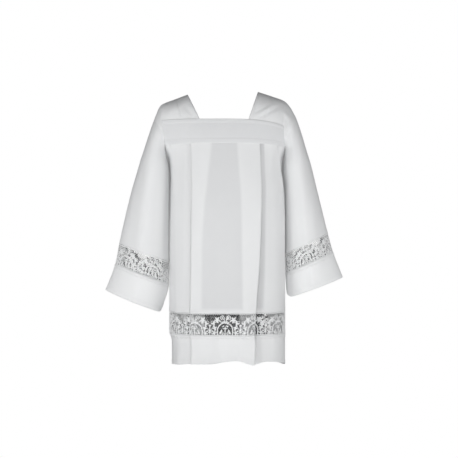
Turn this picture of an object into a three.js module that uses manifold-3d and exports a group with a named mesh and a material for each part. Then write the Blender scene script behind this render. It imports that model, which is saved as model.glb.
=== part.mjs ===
// A surplice: a loose white vestment with a square yoke, a deep box pleat down the front and the back,
// wide sleeves, and a band of openwork lace let in above the hem and above each cuff. It hangs open and
// hollow, as it is worn.
//
// Millimetres, +Z up, the front towards -Y. The origin is midway between the shoulders, where the wearer
// carries it. A drop is a distance below the origin. "left" is the -X side and "right" the +X side, as
// seen from the front.

import * as THREE from "three";
import Module from "manifold-3d";

// ---------------------------------------------------------------- driving sizes

const CLOTH = 1.6; // wall of the cloth and of the lace
const SEAM = 0.3; // gap left between pieces that are sewn together
const SEWN_GAP = 0.5; // half the gap along the seam of a sleeve
const HALVES_GAP = 0.9; // and between the halves of its lace, which meet at an angle
const YOKE_TOP = 79; // drop of the yoke's upper edge at the neck
const YOKE_BOTTOM = 166;
const PANEL_TOP = 154; // the panels run up behind the yoke
const UNDERARM = 212;
const LACE_TOP = 769;
const LACE_BOTTOM = 847;
const LOWEST = 950; // drop of the hem, near enough
const YOKE_OUT = 2.5; // the yoke lies this far outside the pieces that it covers
const YOKE_SHORT = 0.8; // and ends this far short of their edges
const RISE = 0.8; // folded edges and seams stand this far proud
const FOLDED_EDGE = 12; // width of the yoke's folded upper edge
const STITCHED = 16; // width of the stitched strip along its lower edge
const STEP = 1.5; // width of the step beside each of those
// Room between the edge of a sleeve and the edges it is sewn to, which it meets at an angle.
const CLEAR = 2.0;
const UNDERARM_OUT = 4.5; // the sleeve hangs this far off the side of the body at the underarm
const RING_POWER = 2.6; // how square the body is in plan
const NECK = { [-1]: 78, 1: 91.5 }; // from the centre of the yoke to each corner of the neck
const FOLD_STEPS = 2; // facets round a fold

// Rows of numbers as records with named columns.
const table = (names, rows) =>
  rows.map((row) => Object.fromEntries(names.split(" ").map((name, i) => [name, row[i]])));

// The body in plan: half width, the shift of its middle towards +X, and how far it reaches forwards and
// backwards.
const BODY = table("drop half middle front back", [
  [60, 258, -15, 103, 102],
  [82, 255, -13, 107, 106],
  [125, 243, -8, 116, 115],
  [166, 226, -4, 122, 121],
  [212, 211, -1, 125, 126],
  [262, 206, 1, 127, 130],
  [330, 208, 4, 128, 132],
  [500, 210, 4.5, 129, 136],
  [769, 211, 4.5, 132, 142],
  [840, 211, 4.5, 134, 144],
  [880, 206, 9, 135, 146],
  [960, 206, 9, 137, 149],
]);

// The edge of the yoke and of the panels at the armhole: how far it lies from the line down the side.
const ARMHOLE = table("drop aside", [
  [79, 87],
  [125, 77],
  [162, 62],
  [186, 36],
  [202, 15],
  [UNDERARM, SEAM],
]);

// How far the yoke sinks towards its left and right ends, at its upper edge and at its lower edge.
const YOKE_SINKS = {
  front: table("drop left right", [
    [YOKE_TOP, 2, 22],
    [YOKE_BOTTOM, 6, 12],
  ]),
  back: table("drop left right", [
    [YOKE_TOP, 2, 6],
    [YOKE_BOTTOM, 2, 4],
  ]),
};

// Folds of the front, each as a distance from the centre front along the body, the left side negative.
// The box pleat shows between boxLeft and boxRight and is folded under to underLeft and underRight. top
// is how far it lies out, layer the space between its layers, sink how much deeper the cloth turns in
// under each side of it, and bow how far its middle falls back.
const FRONT_BOX = table("drop underLeft boxLeft boxRight underRight top layer sinkLeft sinkRight bow", [
  [154, -44, -121, 127, 43, -0.8, 3.4, 1, 1, 0],
  [212, -54, -122, 126, 44, 1, 3.5, 1.2, 1.5, 0],
  [330, -72, -123, 125, 48, 5, 3.8, 2, 3, 0],
  [400, -80, -124, 124, 50, 7, 4, 2, 5, 0],
  [560, -88, -125, 120, 52, 9, 4.4, 2, 8, 2],
  [769, -88, -127, 104, 54, 13, 5.6, 4, 12, 8],
  [960, -88, -128, 92, 42, 16, 7, 6, 16, 20],
]);

// Beside the box pleat the cloth turns at creaseLeft and creaseRight, where it lies out by beside. A
// smaller pleat closes towards each side, from side to tuck, with its layers tucked apart.
const FRONT_SIDES = table("drop tuckLeft sideLeft creaseLeft creaseRight sideRight tuckRight beside tucked", [
  [154, -190, -201, -150, 143, 186, 176, -7.4, 4.4],
  [212, -196, -208, -146, 143, 206, 193, -5.8, 4.2],
  [330, -192, -210, -138, 142, 242, 220, -2.4, 4],
  [400, -182, -209, -135, 140, 252, 214, -0.8, 4.2],
  [560, -154, -200, -134, 138, 262, 182, 0, 4.6],
  [769, -148, -198, -134, 131, 264, 156, 0, 5.4],
  [960, -148, -198, -134, 126, 264, 156, -4, 6],
]);

// The back has the box pleat alone, measured from the centre back. Its under folds nearly meet in the
// middle.
const BACK_FOLDS = table("drop boxLeft underLeft underRight boxRight top layer sink beside bow", [
  [154, -124, -9, 9, 124, -0.8, 3.4, 1, -7.4, 0],
  [212, -124, -9, 9, 124, 1, 3.5, 1.2, -5.8, 0],
  [400, -122, -9, 9, 122, 6, 4, 3, -0.8, 0],
  [769, -118, -10, 10, 118, 13, 5.6, 6, 0, 2.5],
  [960, -114, -10, 10, 114, 16, 7, 8, -2, 3.5],
]);

// Drop of the hem at places across each panel, as a share of the way from its left edge to its right edge.
const FRONT_HEM = table("across drop", [
  [0, 962],
  [0.14, 957],
  [0.28, 949],
  [0.4, 947],
  [0.55, 936],
  [0.66, 952],
  [0.74, 942],
  [1, 963],
]);
const BACK_HEM = table("across drop", [
  [0, 962],
  [0.3, 952],
  [0.5, 945],
  [0.7, 952],
  [1, 963],
]);

// The sleeves, from the neck (row 0) to the edge of the cuff (row 12). out and drop are the place of the
// ridge of the shoulder or of the outer edge of the sleeve, and depth is half the sleeve's size from
// front to back.
const LEFT_OUTER = table("row out drop depth", [
  [0, 140, -18, 106],
  [1, 184, -1, 92],
  [2, 237, 22, 62],
  [3, 257, 62, 69],
  [4, 281, 130, 75],
  [5, 298, 182, 77],
  [6, 311, 220, 77],
  [7, 320, 250, 76],
  [8, 343, 328, 72],
  [9, 365, 416, 68],
  [10, 389, 524, 64],
  [11, 404, 599, 62],
  [12, 439, 693, 60],
]);
const RIGHT_OUTER = table("row out drop depth", [
  [0, 120, -28, 106],
  [1, 168, -12, 92],
  [2, 214, 6, 70],
  [3, 250, 56, 72],
  [4, 275, 124, 75],
  [5, 291, 178, 77],
  [6, 303, 216, 78],
  [7, 312, 246, 76],
  [8, 331, 324, 72],
  [9, 350, 400, 68],
  [10, 371, 486, 64],
  [11, 391, 556, 62],
  [12, 426, 647, 60],
]);

// How round a sleeve is: 2 is an ellipse, and less is flatter, with a keener outer edge.
const ROUNDNESS = table("row power", [
  [0, 2.25],
  [3, 2.25],
  [5, 2.15],
  [7, 2],
  [9, 1.85],
  [12, 1.8],
]);

// Where the lower ends of the open rows lie: 0 at the corner of the neck, 1 at the end of the yoke, 2
// underarm.
const SHOULDER_SEAM = table("row seam", [
  [0, 0],
  [1, 0.5],
  [2, 1],
  [3, 1.36],
  [4, 1.7],
  [5, 2],
]);

// The seam under each arm and down to the cuff: its drop, and how far it hangs off the side of the body.
const LEFT_INNER = table("row drop off", [
  [6, 240, 3.6],
  [7, 276, 2.6],
  [8, 374, 2.2],
  [9, 471, 2.2],
  [10, 590, 2.2],
  [11, 672, 3],
  [12, 774, 31],
]);
const RIGHT_INNER = table("row drop off", [
  [6, 240, 3.6],
  [7, 276, 3.6],
  [8, 366, 3],
  [9, 452, 2.2],
  [10, 560, 2.2],
  [11, 632, 2.6],
  [12, 722, 7],
]);

const SEAM_ROW = 0.0035; // half the gap at a seam, in rows of a sleeve
const OPEN_ROWS = 5; // rows that end on the yoke and the armhole
const LACE_ROW = 10; // rows of the sleeve where its lace begins and ends
const CUFF_ROW = 11;
const EDGE_ROW = 12;

// The drops, or the rows of the sleeve, at which the facets of each piece begin and end.
const PANEL_ROWS = [
  PANEL_TOP, YOKE_BOTTOM, 182, 197, UNDERARM, 264, 330, 400, 480, 560, 660, LACE_TOP - SEAM / 2,
];
const YOKE_ROWS = [
  YOKE_TOP,
  YOKE_TOP + FOLDED_EDGE - STEP,
  YOKE_TOP + FOLDED_EDGE,
  120,
  YOKE_BOTTOM - STITCHED - STEP,
  YOKE_BOTTOM - STITCHED,
  YOKE_BOTTOM,
];
const SLEEVE_ROWS = [0, 0.5, 1, 1.5, 2, 2.5, 3, 3.6, 4.3, 5, 5.5, 6, 7, 8, 9, LACE_ROW - SEAM_ROW];
const LACE_STEPS = 1; // rows of facets down the lace
const HEM_STEPS = 2; // and down the hem and the cuffs
const SLEEVE_COLUMNS = 18; // facets round a sleeve
const YOKE_COLUMNS = 20;
const SECTION_STEPS = 96; // steps along which a section of a sleeve is measured

// Gaps of one repeat of the lace, from its middle and from the middle of the band, with their sizes.
// sides is the count of corners, and tilt turns the gap, in degrees.
const LACE_REPEAT = 109;
const LACE_GAPS = table("along up width height sides tilt", [
  [10, -14, 13, 20, 4, 0],
  [10, 7, 11, 11, 4, 20],
  [37, -17, 9, 14, 4, 0],
  [47, 6, 9, 11, 4, 0],
]);
// The place across of the middle of one repeat on each piece.
const MOTIF = { front: -2, back: 0, [-1]: -361, 1: 288 };
const MOST_GAPS = 300; // gaps in all the lace of the garment
const EDGE_KEPT = 3; // cloth left between a gap and the end of a piece
const FLAT_ENOUGH = 0.94; // least agreement of the normals over a gap: none is cut across a fold
const PRISM_PAST = 0.7; // how far a cutting prism passes each face
let laceGaps = 0;

// ---------------------------------------------------------------- tables and curves

const count = (n) => Array.from({ length: n }, (_, i) => i);
const mix = (a, b, t) => a + (b - a) * t;
const ease = (t) => t * t * (3 - 2 * t);
const clamp = (v) => Math.min(1, Math.max(0, v));

// Reads a table at a value of its key column: each column follows a smooth curve through its rows, with
// no overshoot.
function read(rows, key, at) {
  const after = rows.findIndex((row) => row[key] > at);
  const i = Math.min(Math.max((after < 0 ? rows.length : after) - 1, 0), rows.length - 2);
  const step = (k) => rows[k + 1][key] - rows[k][key];
  const slope = (k, column) => (rows[k + 1][column] - rows[k][column]) / step(k);
  const lean = (k, column) => {
    if (k === 0) return slope(0, column);
    if (k === rows.length - 1) return slope(k - 1, column);
    const [s, t] = [slope(k - 1, column), slope(k, column)];
    return s * t <= 0 ? 0 : (2 * s * t) / (s + t);
  };
  const t = clamp((at - rows[i][key]) / step(i));
  const found = {};
  for (const column of Object.keys(rows[i])) {
    const [a, b] = [rows[i][column], rows[i + 1][column]];
    const pull = step(i) * t * (1 - t);
    found[column] =
      mix(a, b, ease(t)) + pull * ((1 - t) * lean(i, column) - t * lean(i + 1, column));
  }
  return found;
}

// ---------------------------------------------------------------- the body

const RING_STEPS = 90;
const rings = new Map();

// The body's plan curve at a drop. place(along) gives its point and outward normal at a distance from the
// centre front, negative on the left; side is that distance at the side, and whole at the centre back.
function ring(drop) {
  if (rings.has(drop)) return rings.get(drop);
  const { half, middle, front, back } = read(BODY, "drop", drop);
  const power = 2 / RING_POWER;
  const at = (turn, way) => {
    const [s, c] = [Math.sin(turn), Math.cos(turn)];
    const depth = c > 0 ? front : back;
    const x = way * half * Math.abs(s) ** power;
    const y = -Math.sign(c) * depth * Math.abs(c) ** power;
    const lean = new THREE.Vector2(
      (Math.sign(x) * Math.abs(x / half) ** (RING_POWER - 1)) / half,
      (Math.sign(y) * Math.abs(y / depth) ** (RING_POWER - 1)) / depth,
    ).normalize();
    return { x: x + middle, y, lean };
  };
  const walked = [0];
  for (let i = 1; i <= RING_STEPS; i++) {
    const [a, b] = [at((Math.PI * (i - 1)) / RING_STEPS, 1), at((Math.PI * i) / RING_STEPS, 1)];
    walked.push(walked[i - 1] + Math.hypot(b.x - a.x, b.y - a.y));
  }
  const whole = walked[RING_STEPS];
  const place = (along) => {
    const far = Math.min(Math.abs(along), whole - 1e-6);
    const i = walked.findIndex((w) => w > far) - 1;
    const t = (far - walked[i]) / (walked[i + 1] - walked[i]);
    return at((Math.PI * (i + t)) / RING_STEPS, along < 0 ? -1 : 1);
  };
  const made = { place, side: walked[RING_STEPS / 2], whole };
  rings.set(drop, made);
  return made;
}

// A point of the body, a distance out from its plan curve.
function bodyPoint(drop, along, out = 0) {
  const { x, y, lean } = ring(drop).place(along);
  return new THREE.Vector3(x + lean.x * out, y + lean.y * out, -drop);
}

// The same, with along measured from the centre front or the centre back, and positive towards +X on both.
function facePoint(face, drop, along, out) {
  if (face === "front") return bodyPoint(drop, along, out);
  return bodyPoint(drop, Math.sign(along || 1) * (ring(drop).whole - Math.abs(along)), out);
}

const toSide = (face, drop) => (face === "front" ? ring(drop).side : ring(drop).whole - ring(drop).side);

// Distance from the centre of a face to its edge: the armhole, and below it the side seam.
const toEdge = (face, drop) => toSide(face, drop) - read(ARMHOLE, "drop", Math.min(drop, UNDERARM)).aside;

// Half a turn of cloth from one layer to the next.
function fold(along, before, after, way) {
  const radius = Math.abs(after - before) / 2;
  return count(FOLD_STEPS + 1).map((k) => {
    const turn = (Math.PI * k) / FOLD_STEPS;
    return {
      along: along + way * radius * Math.sin(turn),
      out: mix(before, after, (1 - Math.cos(turn)) / 2),
    };
  });
}

// Joins folds and single points into one line of cloth, with steps[i] facets from item i to the next.
function thread(items, steps, bow = () => 0) {
  const line = [];
  items.forEach((item, i) => {
    line.push(...item);
    if (i === items.length - 1) return;
    const [a, b] = [item[item.length - 1], items[i + 1][0]];
    for (let k = 1; k < steps[i]; k++) {
      const t = k / steps[i];
      line.push({ along: mix(a.along, b.along, t), out: mix(a.out, b.out, t) - bow(i, t) });
    }
  });
  return line;
}

const DOUBLED = 0.2; // share of the top of a box pleat that is doubled along each edge
const BESIDE = 26; // the crease of the back beside its box pleat
const VALLEY = 3; // the cloth stays deep until this far past the right edge of the front's box pleat
const TUCK_INSIDE = 14; // the inmost layer of a side pleat reaches this far past its outer fold
const FRONT_STEPS = [2, 2, 2, 2, 1, 1, 8, 1, 1, 1, 4, 3, 3, 1];
const FRONT_TOP = 6; // place of the top of the box pleat among those steps
const BACK_STEPS = [5, 1, 1, 8, 1, 1, 5];
const BACK_TOP = 3;

// How the top of a box pleat falls back between its doubled edges.
const sag = (t) => Math.sin(Math.PI * clamp((t - DOUBLED) / (1 - 2 * DOUBLED))) ** 2;

// The line of the front at a drop, from its left edge to its right edge.
function frontLine(drop) {
  const f = { ...read(FRONT_BOX, "drop", drop), ...read(FRONT_SIDES, "drop", drop) };
  const edge = toEdge("front", drop);
  const [low, middle] = [f.top - 2 * f.layer, f.top - f.layer];
  const items = [
    [{ along: -edge, out: 0 }],
    [{ along: f.sideLeft - TUCK_INSIDE, out: -2 * f.tucked }],
    fold(f.tuckLeft, -2 * f.tucked, -f.tucked, 1),
    fold(f.sideLeft, -f.tucked, 0, -1),
    [{ along: f.creaseLeft, out: f.beside }],
    fold(f.underLeft, low - f.sinkLeft, middle, 1),
    fold(f.boxLeft, middle, f.top, -1),
    fold(f.boxRight, f.top, middle, 1),
    fold(f.underRight, middle, low - f.sinkRight, -1),
    [{ along: f.boxRight + VALLEY, out: low - f.sinkRight }],
    [{ along: f.creaseRight, out: f.beside }],
    fold(f.sideRight, 0, -f.tucked, 1),
    fold(f.tuckRight, -f.tucked, -2 * f.tucked, -1),
    [{ along: f.sideRight + TUCK_INSIDE, out: -2 * f.tucked }],
    [{ along: edge, out: 0 }],
  ];
  return thread(items, FRONT_STEPS, (i, t) => (i === FRONT_TOP ? f.bow * sag(t) : 0));
}

// The line of the back at a drop, measured from the centre back and from -X to +X.
function backLine(drop) {
  const f = read(BACK_FOLDS, "drop", drop);
  const edge = toEdge("back", drop);
  const [low, middle] = [f.top - 2 * f.layer, f.top - f.layer];
  const items = [
    [{ along: -edge, out: 0 }],
    [{ along: f.boxLeft - BESIDE, out: f.beside }],
    fold(f.underLeft, low - f.sink, middle, 1),
    fold(f.boxLeft, middle, f.top, -1),
    fold(f.boxRight, f.top, middle, 1),
    fold(f.underRight, middle, low - f.sink, -1),
    [{ along: f.boxRight + BESIDE, out: f.beside }],
    [{ along: edge, out: 0 }],
  ];
  return thread(items, BACK_STEPS, (i, t) => (i === BACK_TOP ? f.bow * sag(t) : 0));
}

const lineOf = (face, drop) => (face === "front" ? frontLine(drop) : backLine(drop));

// Rows of points of a panel of the body, each at one drop.
const panelGrid = (face, drops) =>
  drops.map((drop) => lineOf(face, drop).map(({ along, out }) => facePoint(face, drop, along, out)));

// The hem: rows from the lace to the uneven lower edge.
function hemGrid(face) {
  const edge = face === "front" ? FRONT_HEM : BACK_HEM;
  const top = LACE_BOTTOM + SEAM / 2;
  return count(HEM_STEPS + 1).map((k) => {
    const near = mix(top, LOWEST, k / HEM_STEPS);
    const reach = toEdge(face, near);
    return lineOf(face, near).map(({ along }, i) => {
      const low = read(edge, "across", clamp((along / reach + 1) / 2)).drop;
      const drop = mix(top, low, k / HEM_STEPS);
      const at = lineOf(face, drop)[i];
      return facePoint(face, drop, at.along, at.out);
    });
  });
}

// How far the yoke sinks at a drop, and at a share of the way from its centre to one end.
const yokeSinks = (face, side, drop, share) =>
  read(YOKE_SINKS[face], "drop", drop)[side < 0 ? "left" : "right"] * share ** 3;

// The yoke: a plain band over the tops of the panels and the lower ends of the shoulders.
const yokeGrid = (face) =>
  YOKE_ROWS.map((drop) =>
    count(YOKE_COLUMNS + 1).map((k) => {
      const share = (2 * k) / YOKE_COLUMNS - 1;
      const reach = toEdge(face, drop + yokeSinks(face, share, drop, 1)) - YOKE_SHORT;
      return facePoint(face, drop + yokeSinks(face, share, drop, Math.abs(share)), share * reach, YOKE_OUT);
    }));

// ---------------------------------------------------------------- the sleeves

// The front and back lower ends of an open row, clear of the yoke and of the armhole.
function seamEnds(side, seam) {
  const share = clamp(seam - 1);
  return ["front", "back"].map((face) => {
    const start = YOKE_TOP - CLEAR;
    const corner = start + yokeSinks(face, side, YOKE_TOP, 1);
    const edgeAt = (drop) =>
      Math.min(toEdge(face, Math.max(drop, YOKE_TOP)) + CLEAR, toSide(face, drop) - SEWN_GAP);
    if (seam >= 1) {
      const drop = mix(corner, UNDERARM, share);
      return facePoint(face, drop, side * edgeAt(drop), mix(YOKE_OUT / 2, UNDERARM_OUT, share ** 2));
    }
    const edge = edgeAt(corner);
    const along = mix(NECK[side], edge, seam);
    return facePoint(face, start + yokeSinks(face, side, YOKE_TOP, along / edge), side * along, YOKE_OUT / 2);
  });
}

const sections = new Map();

// How far the side of the body lies from the origin's plane at a drop.
function bodyReach(side, drop) {
  const { half, middle } = read(BODY, "drop", drop);
  return half + side * middle;
}

// A cross-section of a sleeve: points from its front lower end over the ridge to its back lower end,
// evenly spaced.
function section(side, row) {
  const key = side * (row + 1);
  if (sections.has(key)) return sections.get(key);
  const outer = read(side < 0 ? LEFT_OUTER : RIGHT_OUTER, "row", row);
  const { power } = read(ROUNDNESS, "row", row);
  const ridge = new THREE.Vector3(side * outer.out, 0, -outer.drop);
  let ends = seamEnds(side, read(SHOULDER_SEAM, "row", Math.min(row, OPEN_ROWS)).seam);
  if (row > OPEN_ROWS) {
    const drop = -ends[0].z;
    const first = { row: OPEN_ROWS, drop, off: Math.abs(ends[0].x) - bodyReach(side, drop) };
    const inner = read([first, ...(side < 0 ? LEFT_INNER : RIGHT_INNER)], "row", row);
    const out = bodyReach(side, inner.drop) + inner.off;
    ends = [-1, 1].map((way) => new THREE.Vector3(side * out, way * SEWN_GAP, -inner.drop));
  }
  const low = ends[0].clone().add(ends[1]).multiplyScalar(0.5);
  const across = ends[0].clone().sub(ends[1]).multiplyScalar(0.5);
  const half = across.length();
  const depth = Math.max(outer.depth, half * 1.001);
  across.normalize();
  const bend = (value) => Math.sign(value) * Math.abs(value) ** (2 / power);
  const open = Math.asin((half / depth) ** (power / 2));
  const reach = row < 1 ? open : Math.PI - open;
  const shut = bend(Math.cos(reach));
  const toRidge = ridge.clone().sub(low).multiplyScalar(1 / (1 - shut));
  const centre = ridge.clone().sub(toRidge);
  const curve = count(SECTION_STEPS + 1).map((k) => {
    const turn = mix(reach, -reach, k / SECTION_STEPS);
    return centre.clone()
      .addScaledVector(toRidge, bend(Math.cos(turn)))
      .addScaledVector(across, depth * bend(Math.sin(turn)));
  });
  const walked = [0];
  for (let i = 1; i < curve.length; i++) walked.push(walked[i - 1] + curve[i].distanceTo(curve[i - 1]));
  const whole = walked[walked.length - 1];
  const made = (share) => {
    const far = clamp(share) * whole;
    const i = Math.min(Math.max(walked.findIndex((w) => w >= far) - 1, 0), curve.length - 2);
    return curve[i].clone().lerp(curve[i + 1], (far - walked[i]) / (walked[i + 1] - walked[i]));
  };
  const found = { at: made, whole };
  sections.set(key, found);
  return found;
}

// Rows of points of a sleeve between two shares of the way round it.
const sleeveGrid = (side, rows, from, to, columns) =>
  rows.map((row) => {
    const cut = section(side, row);
    const trim = HALVES_GAP / cut.whole;
    const [a, b] = [from > 0 ? from + trim : 0, to < 1 ? to - trim : 1];
    return count(columns + 1).map((k) => cut.at(mix(a, b, k / columns)));
  });

// ---------------------------------------------------------------- walls and lace

// Outward normals of a grid of points. flip turns them over.
function normalsOf(grid, flip) {
  return grid.map((row, r) =>
    row.map((_, c) => {
      const down = grid[Math.min(r + 1, grid.length - 1)][c].clone().sub(grid[Math.max(r - 1, 0)][c]);
      const on = row[Math.min(c + 1, row.length - 1)].clone().sub(row[Math.max(c - 1, 0)]);
      return down.cross(on).normalize().multiplyScalar(flip ? -1 : 1);
    }));
}

// A closed wall about a grid of points: raise gives how far the outer face stands proud in each row.
function wall(grid, flip, raise = () => 0) {
  const normals = normalsOf(grid, flip);
  const [rows, columns] = [grid.length, grid[0].length];
  const positions = [];
  for (const outer of [true, false]) {
    grid.forEach((row, r) =>
      row.forEach((point, c) => {
        const lift = outer ? CLOTH / 2 + raise(r) : -CLOTH / 2;
        positions.push(...point.clone().addScaledVector(normals[r][c], lift).toArray());
      }));
  }
  const indices = [];
  const at = (r, c, inner) => (inner ? rows * columns : 0) + r * columns + c;
  const quad = (a, b, c, d) => {
    if (flip) indices.push(a, c, b, a, d, c);
    else indices.push(a, b, c, a, c, d);
  };
  for (let r = 0; r < rows - 1; r++) {
    for (let c = 0; c < columns - 1; c++) {
      quad(at(r, c), at(r + 1, c), at(r + 1, c + 1), at(r, c + 1));
      quad(at(r, c, true), at(r, c + 1, true), at(r + 1, c + 1, true), at(r + 1, c, true));
    }
  }
  for (let c = 0; c < columns - 1; c++) {
    quad(at(0, c), at(0, c + 1), at(0, c + 1, true), at(0, c, true));
    quad(at(rows - 1, c + 1), at(rows - 1, c), at(rows - 1, c, true), at(rows - 1, c + 1, true));
  }
  for (let r = 0; r < rows - 1; r++) {
    quad(at(r + 1, 0), at(r, 0), at(r, 0, true), at(r + 1, 0, true));
    quad(at(r, columns - 1), at(r + 1, columns - 1), at(r + 1, columns - 1, true), at(r, columns - 1, true));
  }
  return { positions, indices };
}

function geometryOf({ positions, indices }) {
  const geometry = new THREE.BufferGeometry();
  geometry.setAttribute("position", new THREE.Float32BufferAttribute(positions, 3));
  geometry.setIndex(indices);
  geometry.computeVertexNormals();
  return geometry;
}

const wasm = await Module();
wasm.setup();
const solidOf = ({ positions, indices }) =>
  new wasm.Manifold(
    new wasm.Mesh({
      numProp: 3,
      vertProperties: new Float32Array(positions),
      triVerts: new Uint32Array(indices),
    }),
  );

// The cloth of a grid as a sheet: place(along, up) gives a point and normal at a length along its middle
// row and a height above that row.
function sheetOf(grid, flip) {
  const normals = normalsOf(grid, flip);
  const middle = (grid.length - 1) / 2;
  const walked = [0];
  const row = grid[Math.floor(middle)];
  for (let c = 1; c < row.length; c++) walked.push(walked[c - 1] + row[c].distanceTo(row[c - 1]));
  const whole = walked[walked.length - 1];
  const tall = grid[0][0].distanceTo(grid[grid.length - 1][0]);
  const place = (along, up) => {
    const c = Math.min(Math.max(walked.findIndex((w) => w >= along) - 1, 0), row.length - 2);
    const s = (along - walked[c]) / (walked[c + 1] - walked[c]);
    const r = clamp(0.5 - up / tall) * (grid.length - 1);
    const i = Math.min(Math.floor(r), grid.length - 2);
    const blend = (rows) =>
      rows[i][c].clone().lerp(rows[i][c + 1], s)
        .lerp(rows[i + 1][c].clone().lerp(rows[i + 1][c + 1], s), r - i);
    return { point: blend(grid), normal: blend(normals).normalize() };
  };
  // The length along the cloth where its outmost layer passes a place across.
  const lengthAt = (x) => {
    const miss = (point) => Math.abs(point.x - x) - Math.abs(point.y) / 10;
    return walked[row.findIndex((point) => miss(point) === Math.min(...row.map(miss)))];
  };
  return { place, lengthAt, whole };
}

// One gap as a prism through the sheet, or nothing where the cloth is folded there.
function gapPrism(sheet, middle, { width, height, sides, tilt, up }) {
  const corners = count(sides).map((k) => {
    const turn = (2 * Math.PI * k) / sides + (tilt * Math.PI) / 180;
    return sheet.place(middle + (width / 2) * Math.sin(turn), up + (height / 2) * Math.cos(turn));
  });
  const centre = sheet.place(middle, up);
  if (corners.some((corner) => corner.normal.dot(centre.normal) < FLAT_ENOUGH)) return null;
  const reach = CLOTH / 2 + PRISM_PAST;
  const positions = [
    ...corners.flatMap((corner) => corner.point.clone().addScaledVector(centre.normal, reach).toArray()),
    ...corners.flatMap((corner) => corner.point.clone().addScaledVector(centre.normal, -reach).toArray()),
  ];
  const indices = [];
  for (let k = 0; k < sides; k++) {
    const next = (k + 1) % sides;
    indices.push(k, sides + k, sides + next, k, sides + next, next);
    if (k > 0 && k < sides - 1) {
      indices.push(0, k, k + 1, sides, sides + k + 1, sides + k);
    }
  }
  const prism = solidOf({ positions, indices });
  return prism.volume() < 0 ? solidOf({ positions, indices: indices.reverse() }) : prism;
}

// Lace: a wall with the gaps of its pattern cut through, one repeat centred at a place across.
function lace(grid, flip, motif) {
  const sheet = sheetOf(grid, flip);
  const repeats = Math.ceil(sheet.whole / LACE_REPEAT);
  const start = sheet.lengthAt(motif);
  const prisms = [];
  for (let k = -repeats; k <= repeats; k++) {
    const middle = start + k * LACE_REPEAT;
    for (const gap of LACE_GAPS) {
      for (const way of [-1, 1]) {
        const at = middle + way * gap.along;
        const clear = gap.width / 2 + EDGE_KEPT;
        if (at < clear || at > sheet.whole - clear) continue;
        const prism = gapPrism(sheet, at, { ...gap, tilt: way * gap.tilt });
        if (prism) prisms.push(prism);
      }
    }
  }
  laceGaps += prisms.length;
  const whole = solidOf(wall(grid, flip));
  const cut = whole.subtract(wasm.Manifold.union(prisms));
  const mesh = cut.getMesh();
  return { positions: Array.from(mesh.vertProperties), indices: Array.from(mesh.triVerts) };
}

// ---------------------------------------------------------------- the garment

const garment = new THREE.Group();
garment.name = "surplice";

function add(name, shape, colour, roughness) {
  const material = new THREE.MeshStandardMaterial({ color: colour, roughness, metalness: 0 });
  material.name = `${name}_cloth`;
  const mesh = new THREE.Mesh(geometryOf(shape), material);
  mesh.name = name;
  garment.add(mesh);
}

const laceDrops = count(LACE_STEPS + 1).map((k) =>
  mix(LACE_TOP + SEAM / 2, LACE_BOTTOM - SEAM / 2, k / LACE_STEPS));

for (const face of ["front", "back"]) {
  const flip = face === "back";
  const proud = (drop) => drop <= YOKE_TOP + FOLDED_EDGE - STEP || drop >= YOKE_BOTTOM - STITCHED;
  add(`${face}_yoke`, wall(yokeGrid(face), flip, (r) => (proud(YOKE_ROWS[r]) ? RISE : 0)), "#f3f3f1", 0.82);
  add(`${face}_panel`, wall(panelGrid(face, PANEL_ROWS), flip), "#f4f4f3", 0.85);
  add(`${face}_lace`, lace(panelGrid(face, laceDrops), flip, MOTIF[face]), "#f6f6f4", 0.8);
  add(`${face}_hem`, wall(hemGrid(face), flip), "#f4f4f3", 0.85);
}

const laceRows = count(LACE_STEPS + 1).map((k) =>
  mix(LACE_ROW + SEAM_ROW, CUFF_ROW - SEAM_ROW, k / LACE_STEPS));
const cuffRows = count(HEM_STEPS + 1).map((k) => mix(CUFF_ROW + SEAM_ROW, EDGE_ROW, k / HEM_STEPS));

for (const [name, side] of [["left", -1], ["right", 1]]) {
  const flip = side < 0;
  add(`sleeve_${name}`, wall(sleeveGrid(side, SLEEVE_ROWS, 0, 1, SLEEVE_COLUMNS), flip), "#f3f3f2", 0.85);
  for (const [half, from, to] of [["front", 0, 0.5], ["back", 0.5, 1]]) {
    const grid = sleeveGrid(side, laceRows, from, to, SLEEVE_COLUMNS / 2);
    add(`sleeve_lace_${name}_${half}`, lace(grid, flip, MOTIF[side]), "#f6f6f4", 0.8);
  }
  add(`cuff_${name}`, wall(sleeveGrid(side, cuffRows, 0, 1, SLEEVE_COLUMNS), flip), "#f4f4f3", 0.85);
}

if (laceGaps > MOST_GAPS) throw new Error(`the lace has ${laceGaps} gaps`);

export default garment;
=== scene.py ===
"""A surplice: white cloth with a square yoke, box-pleated body, wide sleeves and inserted lace.

Lengths in the tables are millimetres. A drop is a distance below the origin, which is midway between the
shoulders. "left" is the -X side. The front faces -Y. Each piece of cloth is a grid of points, made into a
thin closed shell.
"""

import math
from bisect import bisect_right
from functools import lru_cache

import bpy
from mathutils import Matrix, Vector


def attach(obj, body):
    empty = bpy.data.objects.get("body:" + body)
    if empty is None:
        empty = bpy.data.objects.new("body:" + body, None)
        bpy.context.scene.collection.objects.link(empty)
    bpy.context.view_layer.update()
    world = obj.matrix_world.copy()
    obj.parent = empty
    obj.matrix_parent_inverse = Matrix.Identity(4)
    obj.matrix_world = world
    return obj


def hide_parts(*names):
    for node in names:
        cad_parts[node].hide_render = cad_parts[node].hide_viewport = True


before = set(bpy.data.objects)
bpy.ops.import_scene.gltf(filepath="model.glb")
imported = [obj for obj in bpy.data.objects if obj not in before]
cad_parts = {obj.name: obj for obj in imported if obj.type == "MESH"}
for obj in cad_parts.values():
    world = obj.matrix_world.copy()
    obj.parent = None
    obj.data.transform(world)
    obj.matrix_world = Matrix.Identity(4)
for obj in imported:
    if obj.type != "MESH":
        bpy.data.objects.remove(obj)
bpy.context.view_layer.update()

MM = 0.001


def table(names, rows):
    """Rows of numbers as records with named columns."""
    return [dict(zip(names.split(), row)) for row in rows]


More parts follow.
